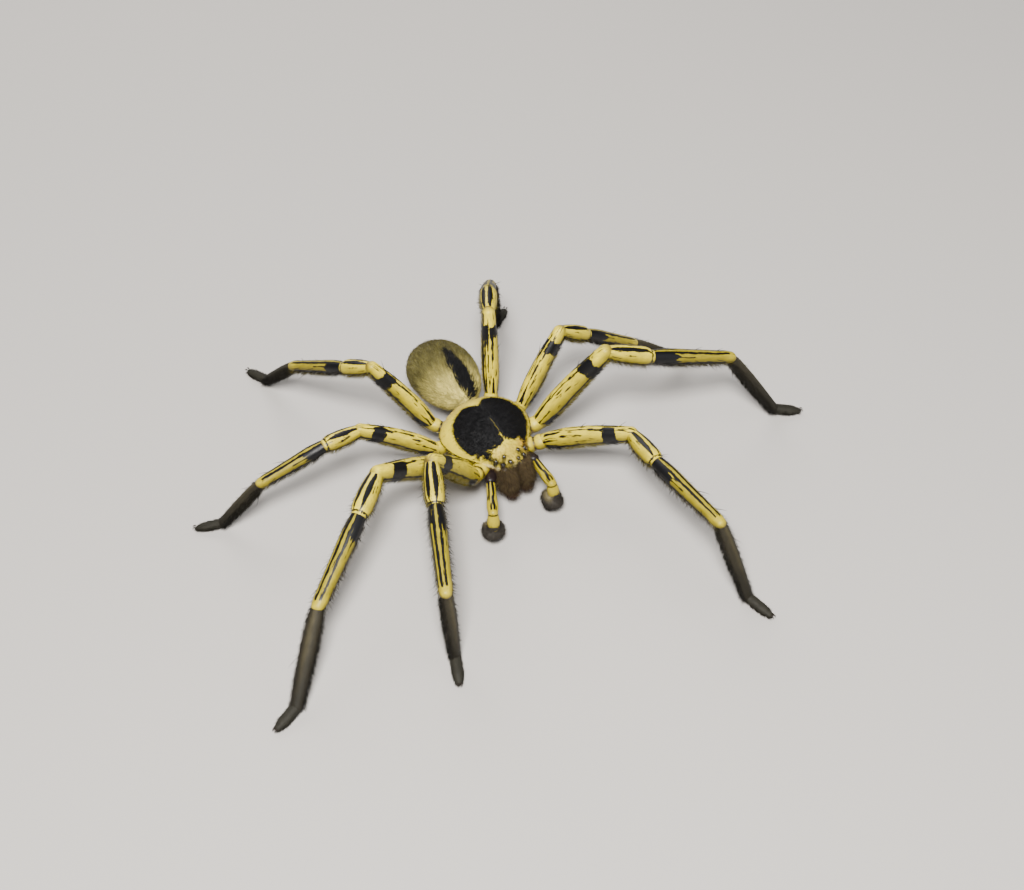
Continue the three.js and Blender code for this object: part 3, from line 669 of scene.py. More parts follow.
def abdomen_ink(points):
    """Depth inside the stripe: its half width, which swells in front and tapers behind, less the way out."""
    share, aside, above = abdomen_places(points)
    ragged = value_noise(points * (1, 0.35, 1), 0.3, 21) * 0.16 + value_noise(points, 0.9, 22) * 0.16
    ink = flowing(STRIPE, share) - np.abs(aside - STRIPE_ASIDE) + ragged
    return np.where((above > 0) & (share < STRIPE_END), ink, -1.0)


def abdomen_tone(points):
    """Cream in front and low on the sides, olive on the back, brown under and behind."""
    share, aside, above = abdomen_places(points)
    tone = np.broadcast_to(ABDOMEN_OLIVE, points.shape)
    fore = 1 - smooth_between(share, 0.05, 0.5)
    tone = toward(tone, ABDOMEN_CREAM, fore * 0.9)
    back = smooth_between(share, 0.6, 1.0)
    tone = toward(tone, ABDOMEN_REAR, back * 0.7)
    low_side = smooth_between(-above, 0.4, 2.6)
    tone = toward(tone, ABDOMEN_LOW, low_side * 0.75)
    spots = smooth_between(value_noise(points, 0.5, 26), 0.45, 0.7) * 0.35
    streaks = 0.3 * value_noise(noise_places(aside * 3.2, share * 7, above), 1.0, 24)
    return tone * (1 + streaks - spots)[..., None]


turns = np.linspace(0.012, 0.988, 96) * np.pi
angles = np.linspace(0, 2 * np.pi, 120, endpoint=False)
rings = egg_rings(turns, angles, -COAT_DEPTH)
rings += unit(rings - ABDOMEN_AT) * (0.05 * value_noise(rings, 1.6, 31))[..., None]
ends = egg_rings(np.array([0.0, math.pi]), angles, -COAT_DEPTH).mean(1)
abdomen_points = over_rings(rings, ends[0], ends[1])
abdomen_ink_field = abdomen_ink(abdomen_points)
abdomen_skin = tube_skin(
    rings, ends[0], ends[1], abdomen_axis, tone=abdomen_tone(abdomen_points), ink=abdomen_ink_field,
    thick=1.0, length=0.9, lift=30)
ABDOMEN_CUTICLE = cuticle("abdomen_cuticle", 0.7, 0.8, 0.5,
                          {"Fray": 0.6, "Hair Along": 70.0, "Hair Across": 260.0, "Mottle": 0.6}, 0.2)
skin_object("abdomen_skin", abdomen_skin, ABDOMEN_CUTICLE, ["abdomen"])
hair_object("abdomen_coat", rooted(abdomen_skin, ABDOMEN_HAIRS, 12), 0.065, curl=0.7, wild=0.24,
            blur=0.2)

# Legs: six tubes of cuticle each, coxa with trochanter, femur, patella, tibia, metatarsus and tarsus, hinged
# end in end. They are ellipses carried along straight courses with half a ball at each end. Black lines, a
# band near the knee and a patch under it mark them, and the two last ones are padded with dark hair.
HIP_HEIGHT = 6.5
COXA_HEIGHT = 5.1
ANKLE_HEIGHT = 1.15
TOE_HEIGHT = 0.38
PAIRS = {
    1: {"hip": (5.8, -5.2), "coxa": (2.0, -3.0), "lengths": (13.0, 6.2, 12.8, 11.9, 3.7), "stout": 1.0},
    2: {"hip": (7.3, -1.9), "coxa": (2.2, -1.0), "lengths": (14.8, 6.4, 13.0, 12.7, 3.5), "stout": 1.06},
    3: {"hip": (7.2, 2.1), "coxa": (2.2, 1.0), "lengths": (11.6, 5.1, 9.8, 9.6, 3.3), "stout": 0.92},
    4: {"hip": (5.0, 6.3), "coxa": (2.0, 3.0), "lengths": (12.4, 4.8, 10.6, 10.4, 3.6), "stout": 0.92},
}
POSES = {
    "left_1": {"yaw": (52, 96, 88, 75, 76), "pitch": (23, 6, -2)},
    "left_2": {"yaw": (25, 25, 13, 31, 29), "pitch": (53, -17, -21)},
    "left_3": {"yaw": (-10, 4, 4, 13, 13), "pitch": (51, -32, -36)},
    "left_4": {"yaw": (-60, -56, -54, -42, -33), "pitch": (72, -5, -39)},
    "right_1": {"yaw": (16, 61, 62, 110, 64), "pitch": (51, -15, -9)},
    "right_2": {"yaw": (8, 36, 32, 40, 16), "pitch": (33, -10, -20)},
    "right_3": {"yaw": (-22, -4, -13, -32, -31), "pitch": (31, 0, -22)},
    "right_4": {"yaw": (-43, -64, -70, -82, -76), "pitch": (51, -25, -29)},
}
SEGMENTS = {
    "coxa": {"profile": [(0, 1.0), (0.4, 1.28), (0.6, 1.22), (0.71, 0.98), (0.82, 1.13), (1, 1.06)],
             "deep": 1.0, "bow": 0.0, "steps": 26},
    "femur": {"profile": [(0, 1.0), (0.2, 1.28), (0.5, 1.3), (0.82, 1.16), (1, 1.02)],
              "deep": 1.18, "bow": 0.35, "steps": 110},
    "patella": {"profile": [(0, 0.96), (0.3, 1.26), (0.65, 1.36), (0.93, 1.2), (1, 1.0)],
                "deep": 0.9, "bow": 0.0, "steps": 46},
    "tibia": {"profile": [(0, 0.96), (0.15, 1.15), (0.5, 1.1), (0.85, 1.0), (0.95, 0.98), (1, 0.88)],
              "deep": 0.9, "bow": 0.0, "steps": 84},
    "metatarsus": {"profile": [(0, 0.78), (0.1, 0.95), (0.3, 1.04), (0.7, 0.98), (1, 0.84)],
                   "deep": 0.84, "bow": 0.0, "steps": 40},
    "tarsus": {"profile": [(0, 0.74), (0.4, 0.76), (0.8, 0.7), (1, 0.52)],
               "deep": 0.84, "bow": 0.0, "steps": 24},
}
LEG_AROUND = 72
FOOT_AROUND = 40
SKIN_DEPTH = 0.06

# Marks of each segment: turn from the top towards the front in degrees, half width in millimetres at the
# start and at the end, and the shares of the length where the mark starts and ends.
# The lines at 100 to 108 degrees, along the lower front edge of the femur, patella and tibia, are partly
# dark hair and partly painted shadow under the leg.
LINES = {
    "coxa": [(-40, 0.12, 0.08, 0.2, 0.66), (50, 0.08, 0.05, 0.3, 0.6)],
    "femur": [(-60, 0.24, 0.2, 0.0, 1.0), (-38, 0.1, 0.1, 0.03, 0.8), (104, 0.14, 0.14, 0.1, 1.0),
              (-16, 0.06, 0.1, 0.3, 0.5), (-14, 0.05, 0.08, 0.12, 0.24),
              (14, 0.26, 0.04, 0.03, 0.29), (12, 0.06, 0.12, 0.34, 0.6), (40, 0.05, 0.07, 0.26, 0.36),
              (62, 0.12, 0.06, 0.0, 0.2), (-76, 0.08, 0.05, 0.35, 0.68),
              (-19, 0.02, 0.3, 0.55, 0.76), (19, 0.02, 0.26, 0.52, 0.76), (-12, 0.2, 0.02, 0.84, 0.94),
              (112, 0.6, 0.3, 0.04, 0.2)],
    "patella": [(54, 0.06, 0.06, 0.34, 0.6), (-68, 0.16, 0.14, 0.0, 1.0), (76, 0.05, 0.03, 0.1, 0.3),
                (108, 0.12, 0.12, 0.0, 1.0)],
    "tibia": [(-27, 0.24, 0.17, 0.0, 0.96), (15, 0.23, 0.16, 0.0, 0.96), (52, 0.12, 0.05, 0.2, 0.5),
              (-66, 0.24, 0.18, 0.0, 0.95), (100, 0.26, 0.2, 0.0, 0.9)],
    "metatarsus": [],
    "tarsus": [],
}
BAND = (0.7, 0.86)
TIBIA_PATCH = 0.235
TIBIA_SHADE = (0.48, 0.48, 0.36)
PAD_BROWN = (0.021, 0.0175, 0.009)
PAD_PALE = (0.03, 0.025, 0.011)
TARSUS_GREY = (0.017, 0.0155, 0.01)


def turned_from(theta, at):
    """Degrees from a mark's middle line, between -180 and 180."""
    return (theta - at + 180) % 360 - 180


def leg_marks(kind, share, theta, length, radius, seed):
    """Depth inside a segment's marks, in millimetres: the largest over its lines, bands and rings."""
    streaky = noise_places(share * length / 1.1, theta / 9.0, seed)
    ragged = value_noise(streaky, 1.0, 41) * 0.07 + value_noise(streaky, 0.4, 42) * 0.04
    arc = radius * np.pi / 180
    ink = np.full(share.shape, -1.0)
    for at, start_half, end_half, start, end in LINES[kind]:
        drift = noise_places(share * length / 2.4, at, seed)
        wander = (0.6 if kind == "tibia" else 1.4) * value_noise(drift, 1.0, 43)
        part = np.clip((share - start) / (end - start), 0, 1)
        across = start_half + (end_half - start_half) * part - np.abs(turned_from(theta, at + wander)) * arc
        along = np.minimum(share - start, end - share) * length
        ink = np.maximum(ink, np.minimum(across, along * 0.5 + 0.02))
    if kind == "femur":
        wavy = 0.22 * value_noise(noise_places(theta / 16, 0.0, seed), 1.0, 44)
        band = np.minimum(share - BAND[0], BAND[1] - share) * length + wavy
        slit = np.abs(turned_from(theta, -4)) * arc - 0.06
        ink = np.maximum(ink, np.minimum(band, slit))
    if kind == "patella":
        for at, half in ((-36, 0.34), (12, 0.38)):
            swell = half * np.sin(np.pi * np.clip(share / 0.97, 0, 1)) ** 0.6
            ink = np.maximum(ink, swell - np.abs(turned_from(theta, at)) * arc)
        ink = np.maximum(ink, 0.12 - np.abs(share - 0.985) * length)
    if kind == "tibia":
        frayed = value_noise(noise_places(theta / 7, 0.0, seed), 1.0, 45) * 0.7
        ahead = smooth_between(np.abs(turned_from(theta, 60)), 70, 20)
        patch = (TIBIA_PATCH + 0.06 * ahead - share) * length + frayed
        clear = np.maximum(turned_from(theta, 20), -turned_from(theta, -36)) * arc
        ink = np.maximum(ink, np.minimum(patch, clear))
    if kind in ("femur", "patella", "tibia"):
        dashes = value_noise(noise_places(share * length / 1.5, theta / 5.5, seed), 1.0, 48)
        back = 1 - smooth_between(np.abs(turned_from(theta, -4)), 28, 80)
        ink = np.maximum(ink, (dashes - (1.2 if kind == "tibia" else 0.98) + 0.3 * back) * 0.14)
    if kind in ("patella", "tibia"):
        ink = np.maximum(ink, 0.08 - np.abs(share - 0.01) * length)
    if kind == "coxa":
        ink = np.maximum(ink, 0.1 - np.abs(share - 0.71) * length)
    return ink + ragged


def leg_tone(kind, share, theta, length, points, seed):
    """Yellow above, olive below, brown at the joints; dark brown to grey on the two last segments."""
    below = smooth_between(np.abs(turned_from(theta, 4)), 42, 115)
    tone = np.broadcast_to(YELLOW, points.shape)
    # Cream towards the top: partly the leg's own paler back, partly painted light.
    tone = toward(tone, CREAM, 1 - smooth_between(np.abs(turned_from(theta, -5)), 20, 90))
    # Olive towards the underside: partly its own duskier colour, partly painted shade.
    tone = toward(tone, OLIVE_SHADE, below * 0.85)
    if kind == "coxa":
        crease = np.exp(-((share - 0.71) / 0.04) ** 2) + smooth_between(share, 0.97, 1.06)
        tone = toward(tone, BROWN, np.clip(crease, 0, 0.85))
    if kind in ("femur", "patella", "tibia"):
        joint = smooth_between(share, 1.03, 1.1) + 1 - smooth_between(share, -0.04, 0.012)
        tone = toward(tone, BROWN, np.clip(joint, 0, 0.9))
    if kind in ("femur", "patella"):
        tone = tone * (1 + 0.14 * smooth_between(share, 0.86, 0.95))[..., None]
    if kind == "tibia":
        tone = tone * np.array(TIBIA_SHADE) * (1 + 0.4 * smooth_between(share, 0.84, 0.95))[..., None]
    if kind == "metatarsus":
        pad = np.array(PAD_BROWN) * (1 - 0.45 * smooth_between(share, 0.1, 0.9))[..., None]
        pad = pad * (1 - 0.55 * smooth_between(np.abs(theta), 45, 90))[..., None]
        pale = np.exp(-(turned_from(theta, -6) / 20) ** 2) * (1 - smooth_between(share, 0.3, 1.0))
        tone = pad + np.array(PAD_PALE) * pale[..., None]
    if kind == "tarsus":
        tone = np.broadcast_to(TARSUS_GREY, points.shape)
    grain = noise_places(share * length / 0.9, theta / 14.0, seed)
    return tone * (1 + 0.16 * value_noise(grain, 1.0, 46) + 0.08 * value_noise(grain, 0.3, 47))[..., None]


def course(sign, yaw, pitch):
    """The direction of a yaw and pitch in degrees on the left (1) or the right (-1)."""
    yaw, pitch = math.radians(yaw), math.radians(pitch)
    level = math.cos(pitch)
    return np.array([sign * level * math.cos(yaw), -level * math.sin(yaw), math.sin(pitch)])


def leg_joints(sign, pair, pose):
    """The places of the coxa's root, the hip, the knee and so on down to the toe."""
    hip, coxa, lengths = pair["hip"], pair["coxa"], pair["lengths"]
    joints = [np.array([sign * coxa[0], coxa[1], COXA_HEIGHT]),
              np.array([sign * hip[0], hip[1], HIP_HEIGHT])]
    for number, length in enumerate(lengths):
        if number > 2:
            goal = ANKLE_HEIGHT if number == 3 else TOE_HEIGHT
            fall = math.degrees(math.asin((goal - joints[-1][2]) / length))
        else:
            fall = pose["pitch"][number]
        joints.append(joints[-1] + course(sign, pose["yaw"][number], fall) * length)
    return joints


def limb_grid(start, end, profile, stout, deep, bow, hand, steps, around):
    """Rings of an ellipse along a straight course that is bowed up by half a sine, from ball to ball. Gives
    the rings, the two poles, the share of each ring, the turn of each column, the radii and the course."""
    length = np.linalg.norm(end - start)
    direction = (end - start) / length
    side = unit(np.cross((0, 0, 1), direction))
    up = np.cross(direction, side)
    cap = np.radians((22, 42, 60, 76))
    first, last = flowing(profile, 0) * stout - SKIN_DEPTH, flowing(profile, 1) * stout - SKIN_DEPTH
    middle = np.linspace(0, 1, steps + 1)
    share = np.concatenate([-first * np.cos(cap) / length, middle, 1 + last * np.cos(cap[::-1]) / length])
    radius = np.concatenate([first * np.sin(cap), flowing(profile, middle) * stout - SKIN_DEPTH,
                             last * np.sin(cap[::-1])])
    theta = 2 * np.pi * (np.arange(around) + 0.5) / around - np.pi
    spine = start + direction * (share * length)[:, None]
    spine[:, 2] += bow * np.sin(np.pi * np.clip(share, 0, 1))
    turned = side * hand * np.sin(theta)[:, None] + up * deep * np.cos(theta)[:, None]
    rings = spine[:, None] + turned[None] * radius[:, None, None]
    poles = start - direction * first, end + direction * last
    return rings, poles, share, np.degrees(theta), radius, direction, length


def leg_segment(kind, start, end, stout, sign, seed):
    """The skin of one leg segment with its marks, its tones and how its hair grows."""
    form = SEGMENTS[kind]
    hand = -sign
    around = FOOT_AROUND if kind in ("metatarsus", "tarsus") else LEG_AROUND
    rings, poles, share, theta, radius, direction, length = limb_grid(
        start, end, form["profile"], stout, form["deep"], form["bow"], hand, form["steps"], around)
    points = over_rings(rings, *poles)
    shares = per_point(share[0] - 0.02, share, around, share[-1] + 0.02)
    thetas = np.concatenate([[0], np.tile(theta, len(share)), [0]])
    radii = per_point(0.1, radius, around, 0.1)
    under = smooth_between(np.abs(thetas), 75, 125)
    flank = smooth_between(np.abs(thetas), 45, 75)
    if kind in ("metatarsus", "tarsus"):
        flare = 1.0 if kind == "metatarsus" else 0.45
        thick, long, lift = 1.0 + 1.2 * flank, 0.34 + 0.3 * flank * flare, 20 + 40 * flank * flare
    elif kind in ("patella", "tibia"):
        thick, long, lift = 0.55 + 0.9 * under, 0.38 + 0.42 * under, 18 + 44 * under
    elif kind == "femur":
        thick, long, lift = 0.55 + 0.5 * under, 0.4 + 0.3 * under, 20 + 26 * under
    else:
        thick, long, lift = 0.5 + 0 * under, 0.34 + 0 * under, 14 + 0 * under
    tone = leg_tone(kind, shares, thetas, length, points, seed)
    ink = leg_marks(kind, shares, thetas, length, radii, seed)
    inside = smooth_between(shares, -0.02, 0.02) * (1 - smooth_between(shares, 0.98, 1.02))
    grows = np.maximum(inside, 1.0 if kind == "tarsus" else 0.0)
    return tube_skin(rings, poles[0], poles[1], direction, tone=tone, ink=ink,
                     thick=thick * grows + 0.001, length=long, lift=lift)


LEG_CUTICLE = cuticle("leg_cuticle", 0.42, 0.4, 0.4,
                      {"Fray": 0.26, "Hair Along": 18.0, "Hair Across": 64.0, "Mottle": 0.45})
FOOT_CUTICLE = cuticle("foot_cuticle", 0.7, 0.7, 0.6,
                       {"Fray": 0.1, "Hair Along": 20.0, "Hair Across": 40.0, "Mottle": 0.5})

# Fringe: dark upright hairs in rows under the patella and tibia of each leg, longest on the two front pairs
FRINGE_ROWS = (104, 128, -112, -136)
FRINGE_STEP = 0.17
FRINGE_COLOR = (0.02, 0.016, 0.01)


def segment_frame(start, end, sign):
    """A segment's own axes: the way along it, to its front and up."""
    direction = unit(end - start)
    across = unit(np.cross((0, 0, 1), direction))
    return direction, across * -sign, np.cross(direction, across)


def bristle_roots(stacks, tone, long, lift, random):
    """Roots for hair_object from lists of places, normals and lies, all alike in tone, length and lift."""
    roots = {key: np.concatenate(parts) for key, parts in stacks.items()}
    total = len(roots["points"])
    roots["tone"] = np.broadcast_to(tone, (total, 3))
    for key, value in (("ink", -1.0), ("length", long), ("lift", lift)):
        roots[key] = np.full(total, value)
    roots["random"] = random
    return roots


def fringe(joints, sign, stout, long, seed):
    """Roots of the fringe: rows along the patella and tibia at fixed turns, with even steps and a jitter."""
    random = np.random.default_rng(seed)
    stacks = {"points": [], "normal": [], "lie": [], "uv": []}
    for number, kind in ((2, "patella"), (3, "tibia")):
        start, end = joints[number], joints[number + 1]
        length = np.linalg.norm(end - start)
        direction, side, up = segment_frame(start, end, sign)
        for row in FRINGE_ROWS:
            count = int(length / FRINGE_STEP)
            share = (np.arange(count) + random.random(count)) / count
            turn = np.radians(row + 6 * random.normal(size=count))[:, None]
            radius = (flowing(SEGMENTS[kind]["profile"], share) * stout - SKIN_DEPTH)[:, None]
            outward = side * np.sin(turn) + up * np.cos(turn) * SEGMENTS[kind]["deep"]
            stacks["points"].append(start + direction * (share * length)[:, None] + outward * radius)
            stacks["normal"].append(unit(outward))
            stacks["lie"].append(np.broadcast_to(direction, (count, 3)))
            stacks["uv"].append(np.stack([row / 360 % 1 + 0 * share, (number + share) / 6], -1))
    return bristle_roots(stacks, FRINGE_COLOR, long, 66.0, random)


# Spines: a few long dark bristles on each leg, more upright than the hair
SPINES = {
    "femur": ((0.42, 0), (0.66, 10), (0.86, -8), (0.55, 62), (0.62, -62)),
    "tibia": ((0.5, 75), (0.78, 70), (0.56, -75), (0.84, -70), (0.48, 150), (0.52, -150), (0.74, 148)),
    "metatarsus": ((0.2, 72), (0.24, -72), (0.16, 150), (0.5, -80)),
}
SPINE_LENGTH = 1.7
SPINE_WIDTH = 0.1
SPINE_COLOR = (0.03, 0.024, 0.018)


def spines(joints, sign, stout, seed):
    """Roots of the bristles at the given shares and turns of the femur, tibia and metatarsus."""
    random = np.random.default_rng(seed)
    stacks = {"points": [], "normal": [], "lie": []}
    for number, kind in ((1, "femur"), (3, "tibia"), (4, "metatarsus")):
        start, end = joints[number], joints[number + 1]
        direction, side, up = segment_frame(start, end, sign)
        for share, turn in SPINES[kind]:
            angle = math.radians(turn + 10 * (random.random() - 0.5))
            outward = side * math.sin(angle) + up * math.cos(angle)
            radius = flowing(SEGMENTS[kind]["profile"], share) * stout
            bow = SEGMENTS[kind]["bow"] * math.sin(math.pi * share)
            root = start + (end - start) * share + outward * radius * 0.92 + np.array([0, 0, bow])
            stacks["points"].append(root[None])
            stacks["normal"].append(outward[None])
            stacks["lie"].append(direction[None])
    total = len(stacks["points"])
    stacks["uv"] = [np.stack([np.linspace(0.05, 0.95, total), np.full(total, 0.5)], -1)]
    return bristle_roots(stacks, SPINE_COLOR, SPINE_LENGTH, 32.0, random)


# Claws: two black hooks under the hair tuft of each toe, round cones bent down along a quarter of a circle
CLAW_LENGTH = 0.8
CLAW_RADIUS = 0.09
CLAW_COLOR = (0.02, 0.013, 0.01)
CLAW_BEND = 1.5
claw_shell = plain_material("claw_shell", CLAW_COLOR, 0.22)


def hook_skin(root, direction, bend_to, length, radius, bend, color):
    """A round horn: rings that narrow to a point, carried along an arc that turns from one direction towards
    another by the bend, in radians."""
    share = np.linspace(0, 1, 14)
    angle = share * bend
    step = np.cos(angle)[:, None] * direction + np.sin(angle)[:, None] * bend_to
    spine = root + np.cumsum(step, 0) * length / len(share)
    across = np.cross(direction, bend_to)
    up = np.cross(across, step)
    turn = np.linspace(0, 2 * np.pi, 12, endpoint=False)
    thick = radius * (1 - share) ** 0.75 + 0.008
    ring = across * np.cos(turn)[:, None] + up[:, None] * np.sin(turn)[:, None]
    rings = spine[:, None] + ring * thick[:, None, None]
    first, last = spine[0] - direction * 0.01, spine[-1] + step[-1] * 0.02
    count = rings.shape[0] * rings.shape[1] + 2
    tone = np.broadcast_to(color, (count, 3))
    return tube_skin(rings, first, last, direction, tone=tone, ink=-1.0, thick=1.0, length=0.1, lift=10)


LEG_HAIRS = 6400
FOOT_HAIRS = 4000
for side_name, sign in (("left", 1), ("right", -1)):
    for number, pair in PAIRS.items():
        leg = f"leg_{side_name}_{number}"
        seed = number * 10 + (5 if sign > 0 else 0)
        joints = leg_joints(sign, pair, POSES[f"{side_name}_{number}"])
        kinds = list(SEGMENTS)
        parts = [leg_segment(kind, joints[i], joints[i + 1], pair["stout"], sign, seed + i)
                 for i, kind in enumerate(kinds)]
        upper, lower = joined(parts[:4]), joined(parts[4:])
        lower["points"][:, 2] = np.maximum(lower["points"][:, 2], 0.0)
        upper_nodes = [f"{leg}_{kind}" for kind in ("coxa", "femur", "tibia")]
        lower_nodes = [f"{leg}_{kind}" for kind in ("metatarsus", "tarsus")]
        skin_object(f"{leg}_skin", upper, LEG_CUTICLE, upper_nodes)
        skin_object(f"{leg}_foot_skin", lower, FOOT_CUTICLE, lower_nodes)
        hair_object(f"{leg}_coat", rooted(upper, LEG_HAIRS, seed + 101), 0.04, curl=0.5)
        foot_roots = rooted(lower, FOOT_HAIRS, seed + 201)
        foot_roots["points"][:, 2] = np.maximum(foot_roots["points"][:, 2], 0.05)
        foot_roots["normal"][:, 2] = np.where(foot_roots["points"][:, 2] < 0.35,
                                              np.maximum(foot_roots["normal"][:, 2], 0.05),
                                              foot_roots["normal"][:, 2])
        hair_object(f"{leg}_foot_coat", foot_roots, 0.055, curl=0.4)
        combed = fringe(joints, sign, pair["stout"], 0.95 if number < 3 else 0.6, seed + 301)
        hair_object(f"{leg}_fringe", combed, 0.06, curl=0.15, wild=0.1)
        hair_object(f"{leg}_spines", spines(joints, sign, pair["stout"], seed + 401), SPINE_WIDTH,
                    curl=0.3, wild=0.05, sides=6, bends=5)
        ankle, toe = joints[5], joints[6]
        ahead_of_toe = unit((toe - ankle) * (1, 1, 0))
        across_toe = np.cross(ahead_of_toe, (0, 0, 1))
        hooks = [hook_skin(toe + across_toe * aside + ahead_of_toe * 0.35 + np.array([0, 0, 0.25]),
                           unit(ahead_of_toe + np.array([0, 0, 0.35])), np.array([0, 0, -1.0]),
                           CLAW_LENGTH, CLAW_RADIUS, CLAW_BEND, CLAW_COLOR) for aside in (-0.2, 0.2)]
        claws = joined(hooks)
        claws["points"][:, 2] = np.maximum(claws["points"][:, 2], 0.0)
        shell_object(f"{leg}_claws", claws, claw_shell)


# Eyes: eight round glossy lenses, near black, in two rows across the front of the head
EYE_SINK = 0.25
EYE_COLOR = (0.006, 0.005, 0.006)
lens = plain_material("eye_lens", EYE_COLOR, 0.04)
lens_nodes = lens.node_tree.nodes
lens_shader = lens_nodes["Principled BSDF"]
lens_shader.inputs["IOR"].default_value = 1.55
lens_shader.inputs["Coat Weight"].default_value = 1.0
# Painted sheen: the lens turns from near black where it faces the view to a dark red-brown towards its rim.
lens_facing = lens_nodes.new("ShaderNodeLayerWeight")
lens_facing.inputs["Blend"].default_value = 0.35
lens_ramp = lens_nodes.new("ShaderNodeValToRGB")
lens_ramp.color_ramp.elements[0].color = (0.004, 0.003, 0.004, 1.0)
lens_ramp.color_ramp.elements[1].color = (0.03, 0.015, 0.008, 1.0)
lens.node_tree.links.new(lens_facing.outputs["Facing"], lens_ramp.inputs["Fac"])
lens.node_tree.links.new(lens_ramp.outputs["Color"], lens_shader.inputs["Base Color"])


def dome_height(aside, back):
    """Height of the carapace's outer surface over a place on the floor."""
    share = (back - CARAPACE_MIDDLE) / CARAPACE_LENGTH + 0.5
    rim = RIM_HEIGHT + eased(RIM_LIFTS, share)
    top = eased(TOPS, share) * (CARAPACE_TOP - RIM_HEIGHT) + (RIM_HEIGHT - rim)
    reach = np.minimum(1, np.abs(aside) / (eased(HALF_WIDTHS, share) * CARAPACE_WIDTH / 2))
    return rim + top * (1 - reach ** 2) ** (DOME_POWER / 2)


def ball_skin(centre, radius, rows, around, color):
    """A ball of rings from pole to pole."""
    tilt = np.linspace(0, np.pi, rows + 2)[1:-1]
    turn = np.linspace(0, 2 * np.pi, around, endpoint=False)
    ring = np.stack([np.sin(tilt)[:, None] * np.cos(turn), np.sin(tilt)[:, None] * np.sin(turn),
                     np.cos(tilt)[:, None] + 0 * turn], -1)
    tone = np.broadcast_to(color, (rows * around + 2, 3))
    return tube_skin(centre + ring * radius, centre + (0, 0, radius), centre - (0, 0, radius),
                     np.array([0, 1.0, 0]), tone=tone, ink=-1.0, thick=1.0, length=0.1, lift=10)


for side_name, sign in (("left", 1), ("right", -1)):
    for eye_name, eye in EYES.items():
        aside, back = eye["at"]
        centre = np.array([sign * aside, back, dome_height(aside, back) - eye["radius"] * EYE_SINK])
        ball = ball_skin(centre, eye["radius"], 22, 32, EYE_COLOR)
        node = f"eye_{eye_name}_{side_name}"
        shell_object(f"{node}_lens", ball, lens, [node])


# Chelicerae: two stout jaws under the head, dark brown and hairy, each with a smooth hooked fang folded in
CHELICERA = ((1.3, -6.2, 5.9), (1.2, -7.4, 3.1))
CHELICERA_PROFILE = [(0, 1.1), (0.35, 1.32), (0.75, 1.2), (1, 0.75)]
JAW_BROWN = (0.062, 0.042, 0.022)
JAW_TIP = (0.045, 0.013, 0.01)
JAW_FUZZ = (0.1, 0.075, 0.03)
FANG_COLOR = (0.02, 0.01, 0.008)
JAW_HAIRS = 4000
FANG_LENGTH = 1.3
FANG_COURSE = (-0.62, 0.5, -0.55)
JAW_CUTICLE = cuticle("jaw_cuticle", 0.35, 0.3, 0.4,
                      {"Fray": 0.1, "Hair Along": 20.0, "Hair Across": 40.0, "Mottle": 0.5})
for side_name, sign in (("left", 1), ("right", -1)):
    top, tip = (np.array(spot) * (sign, 1, 1) for spot in CHELICERA)
    rings, poles, share, _, _, direction, _ = limb_grid(
        top, tip, CHELICERA_PROFILE, 1.0, 1.0, 0.0, -sign, 40, 48)
    rings[..., 0] = np.where(rings[..., 0] * sign < 0.12, sign * 0.12, rings[..., 0])
    shares = per_point(0, share, 48, 1)
    points = over_rings(rings, *poles)
    tone = np.broadcast_to(JAW_BROWN, points.shape)
    tone = toward(tone, JAW_TIP, smooth_between(shares, 0.8, 1.0))
    jaw = tube_skin(rings, poles[0], poles[1], direction, tone=tone, ink=-1.0,
                    thick=1.0, length=0.95, lift=42)
    skin_object(f"chelicera_{side_name}_skin", jaw, JAW_CUTICLE, [f"chelicera_{side_name}"])
    jaw_roots = rooted(jaw, JAW_HAIRS, 51 + sign)
    hair_object(f"chelicera_{side_name}_coat", jaw_roots, 0.06, curl=0.35, wild=0.5, tint=JAW_FUZZ)
    inward = unit(np.array(FANG_COURSE) * (sign, 1, 1))
    fang = hook_skin(tip + np.array([sign * 0.1, -0.1, -0.25]), np.array([0, -0.35, -0.94]), inward,
                     FANG_LENGTH, 0.3, 1.2, FANG_COLOR)
    shell_object(f"fang_{side_name}", fang, claw_shell)


# Palps: two short feelers beside the jaws. A shiny dark base, a yellow flecked femur, a short yellow tibia
# and, as on a grown male, a swollen club covered in short black hair.
PALPS = {
    "left": ((3.3, -6.2, 5.4), (2.9, -11.0, 5.0), (2.9, -11.5, 3.4), (2.4, -11.3, 1.6)),
    "right": ((-3.7, -6.1, 5.4), (-6.5, -10.8, 5.0), (-6.9, -11.5, 3.2), (-6.8, -11.1, 1.5)),
}
PALP_COXA = (2.5, -4.8, 5.2)
PALP_FORMS = {
    "base": [(0, 0.8), (0.6, 0.95), (1, 0.8)],
    "femur": [(0, 0.62), (0.5, 0.74), (0.9, 0.8), (1, 0.7)],
    "tibia": [(0, 0.72), (0.5, 0.88), (1, 0.84)],
    "club": [(0, 0.85), (0.35, 1.55), (0.7, 1.43), (1, 0.88)],
}
PALP_BASE_BLACK = (0.012, 0.007, 0.007)
PALP_HAIRS = 1500
CLUB_HAIRS = 3200
CLUB_DARK = (0.035, 0.03, 0.024)
CLUB_PALE = (0.3, 0.25, 0.12)
PALP_CUTICLE = cuticle("palp_cuticle", 0.4, 0.3, 0.4,
                       {"Fray": 0.07, "Hair Along": 14.0, "Hair Across": 24.0, "Mottle": 0.3})


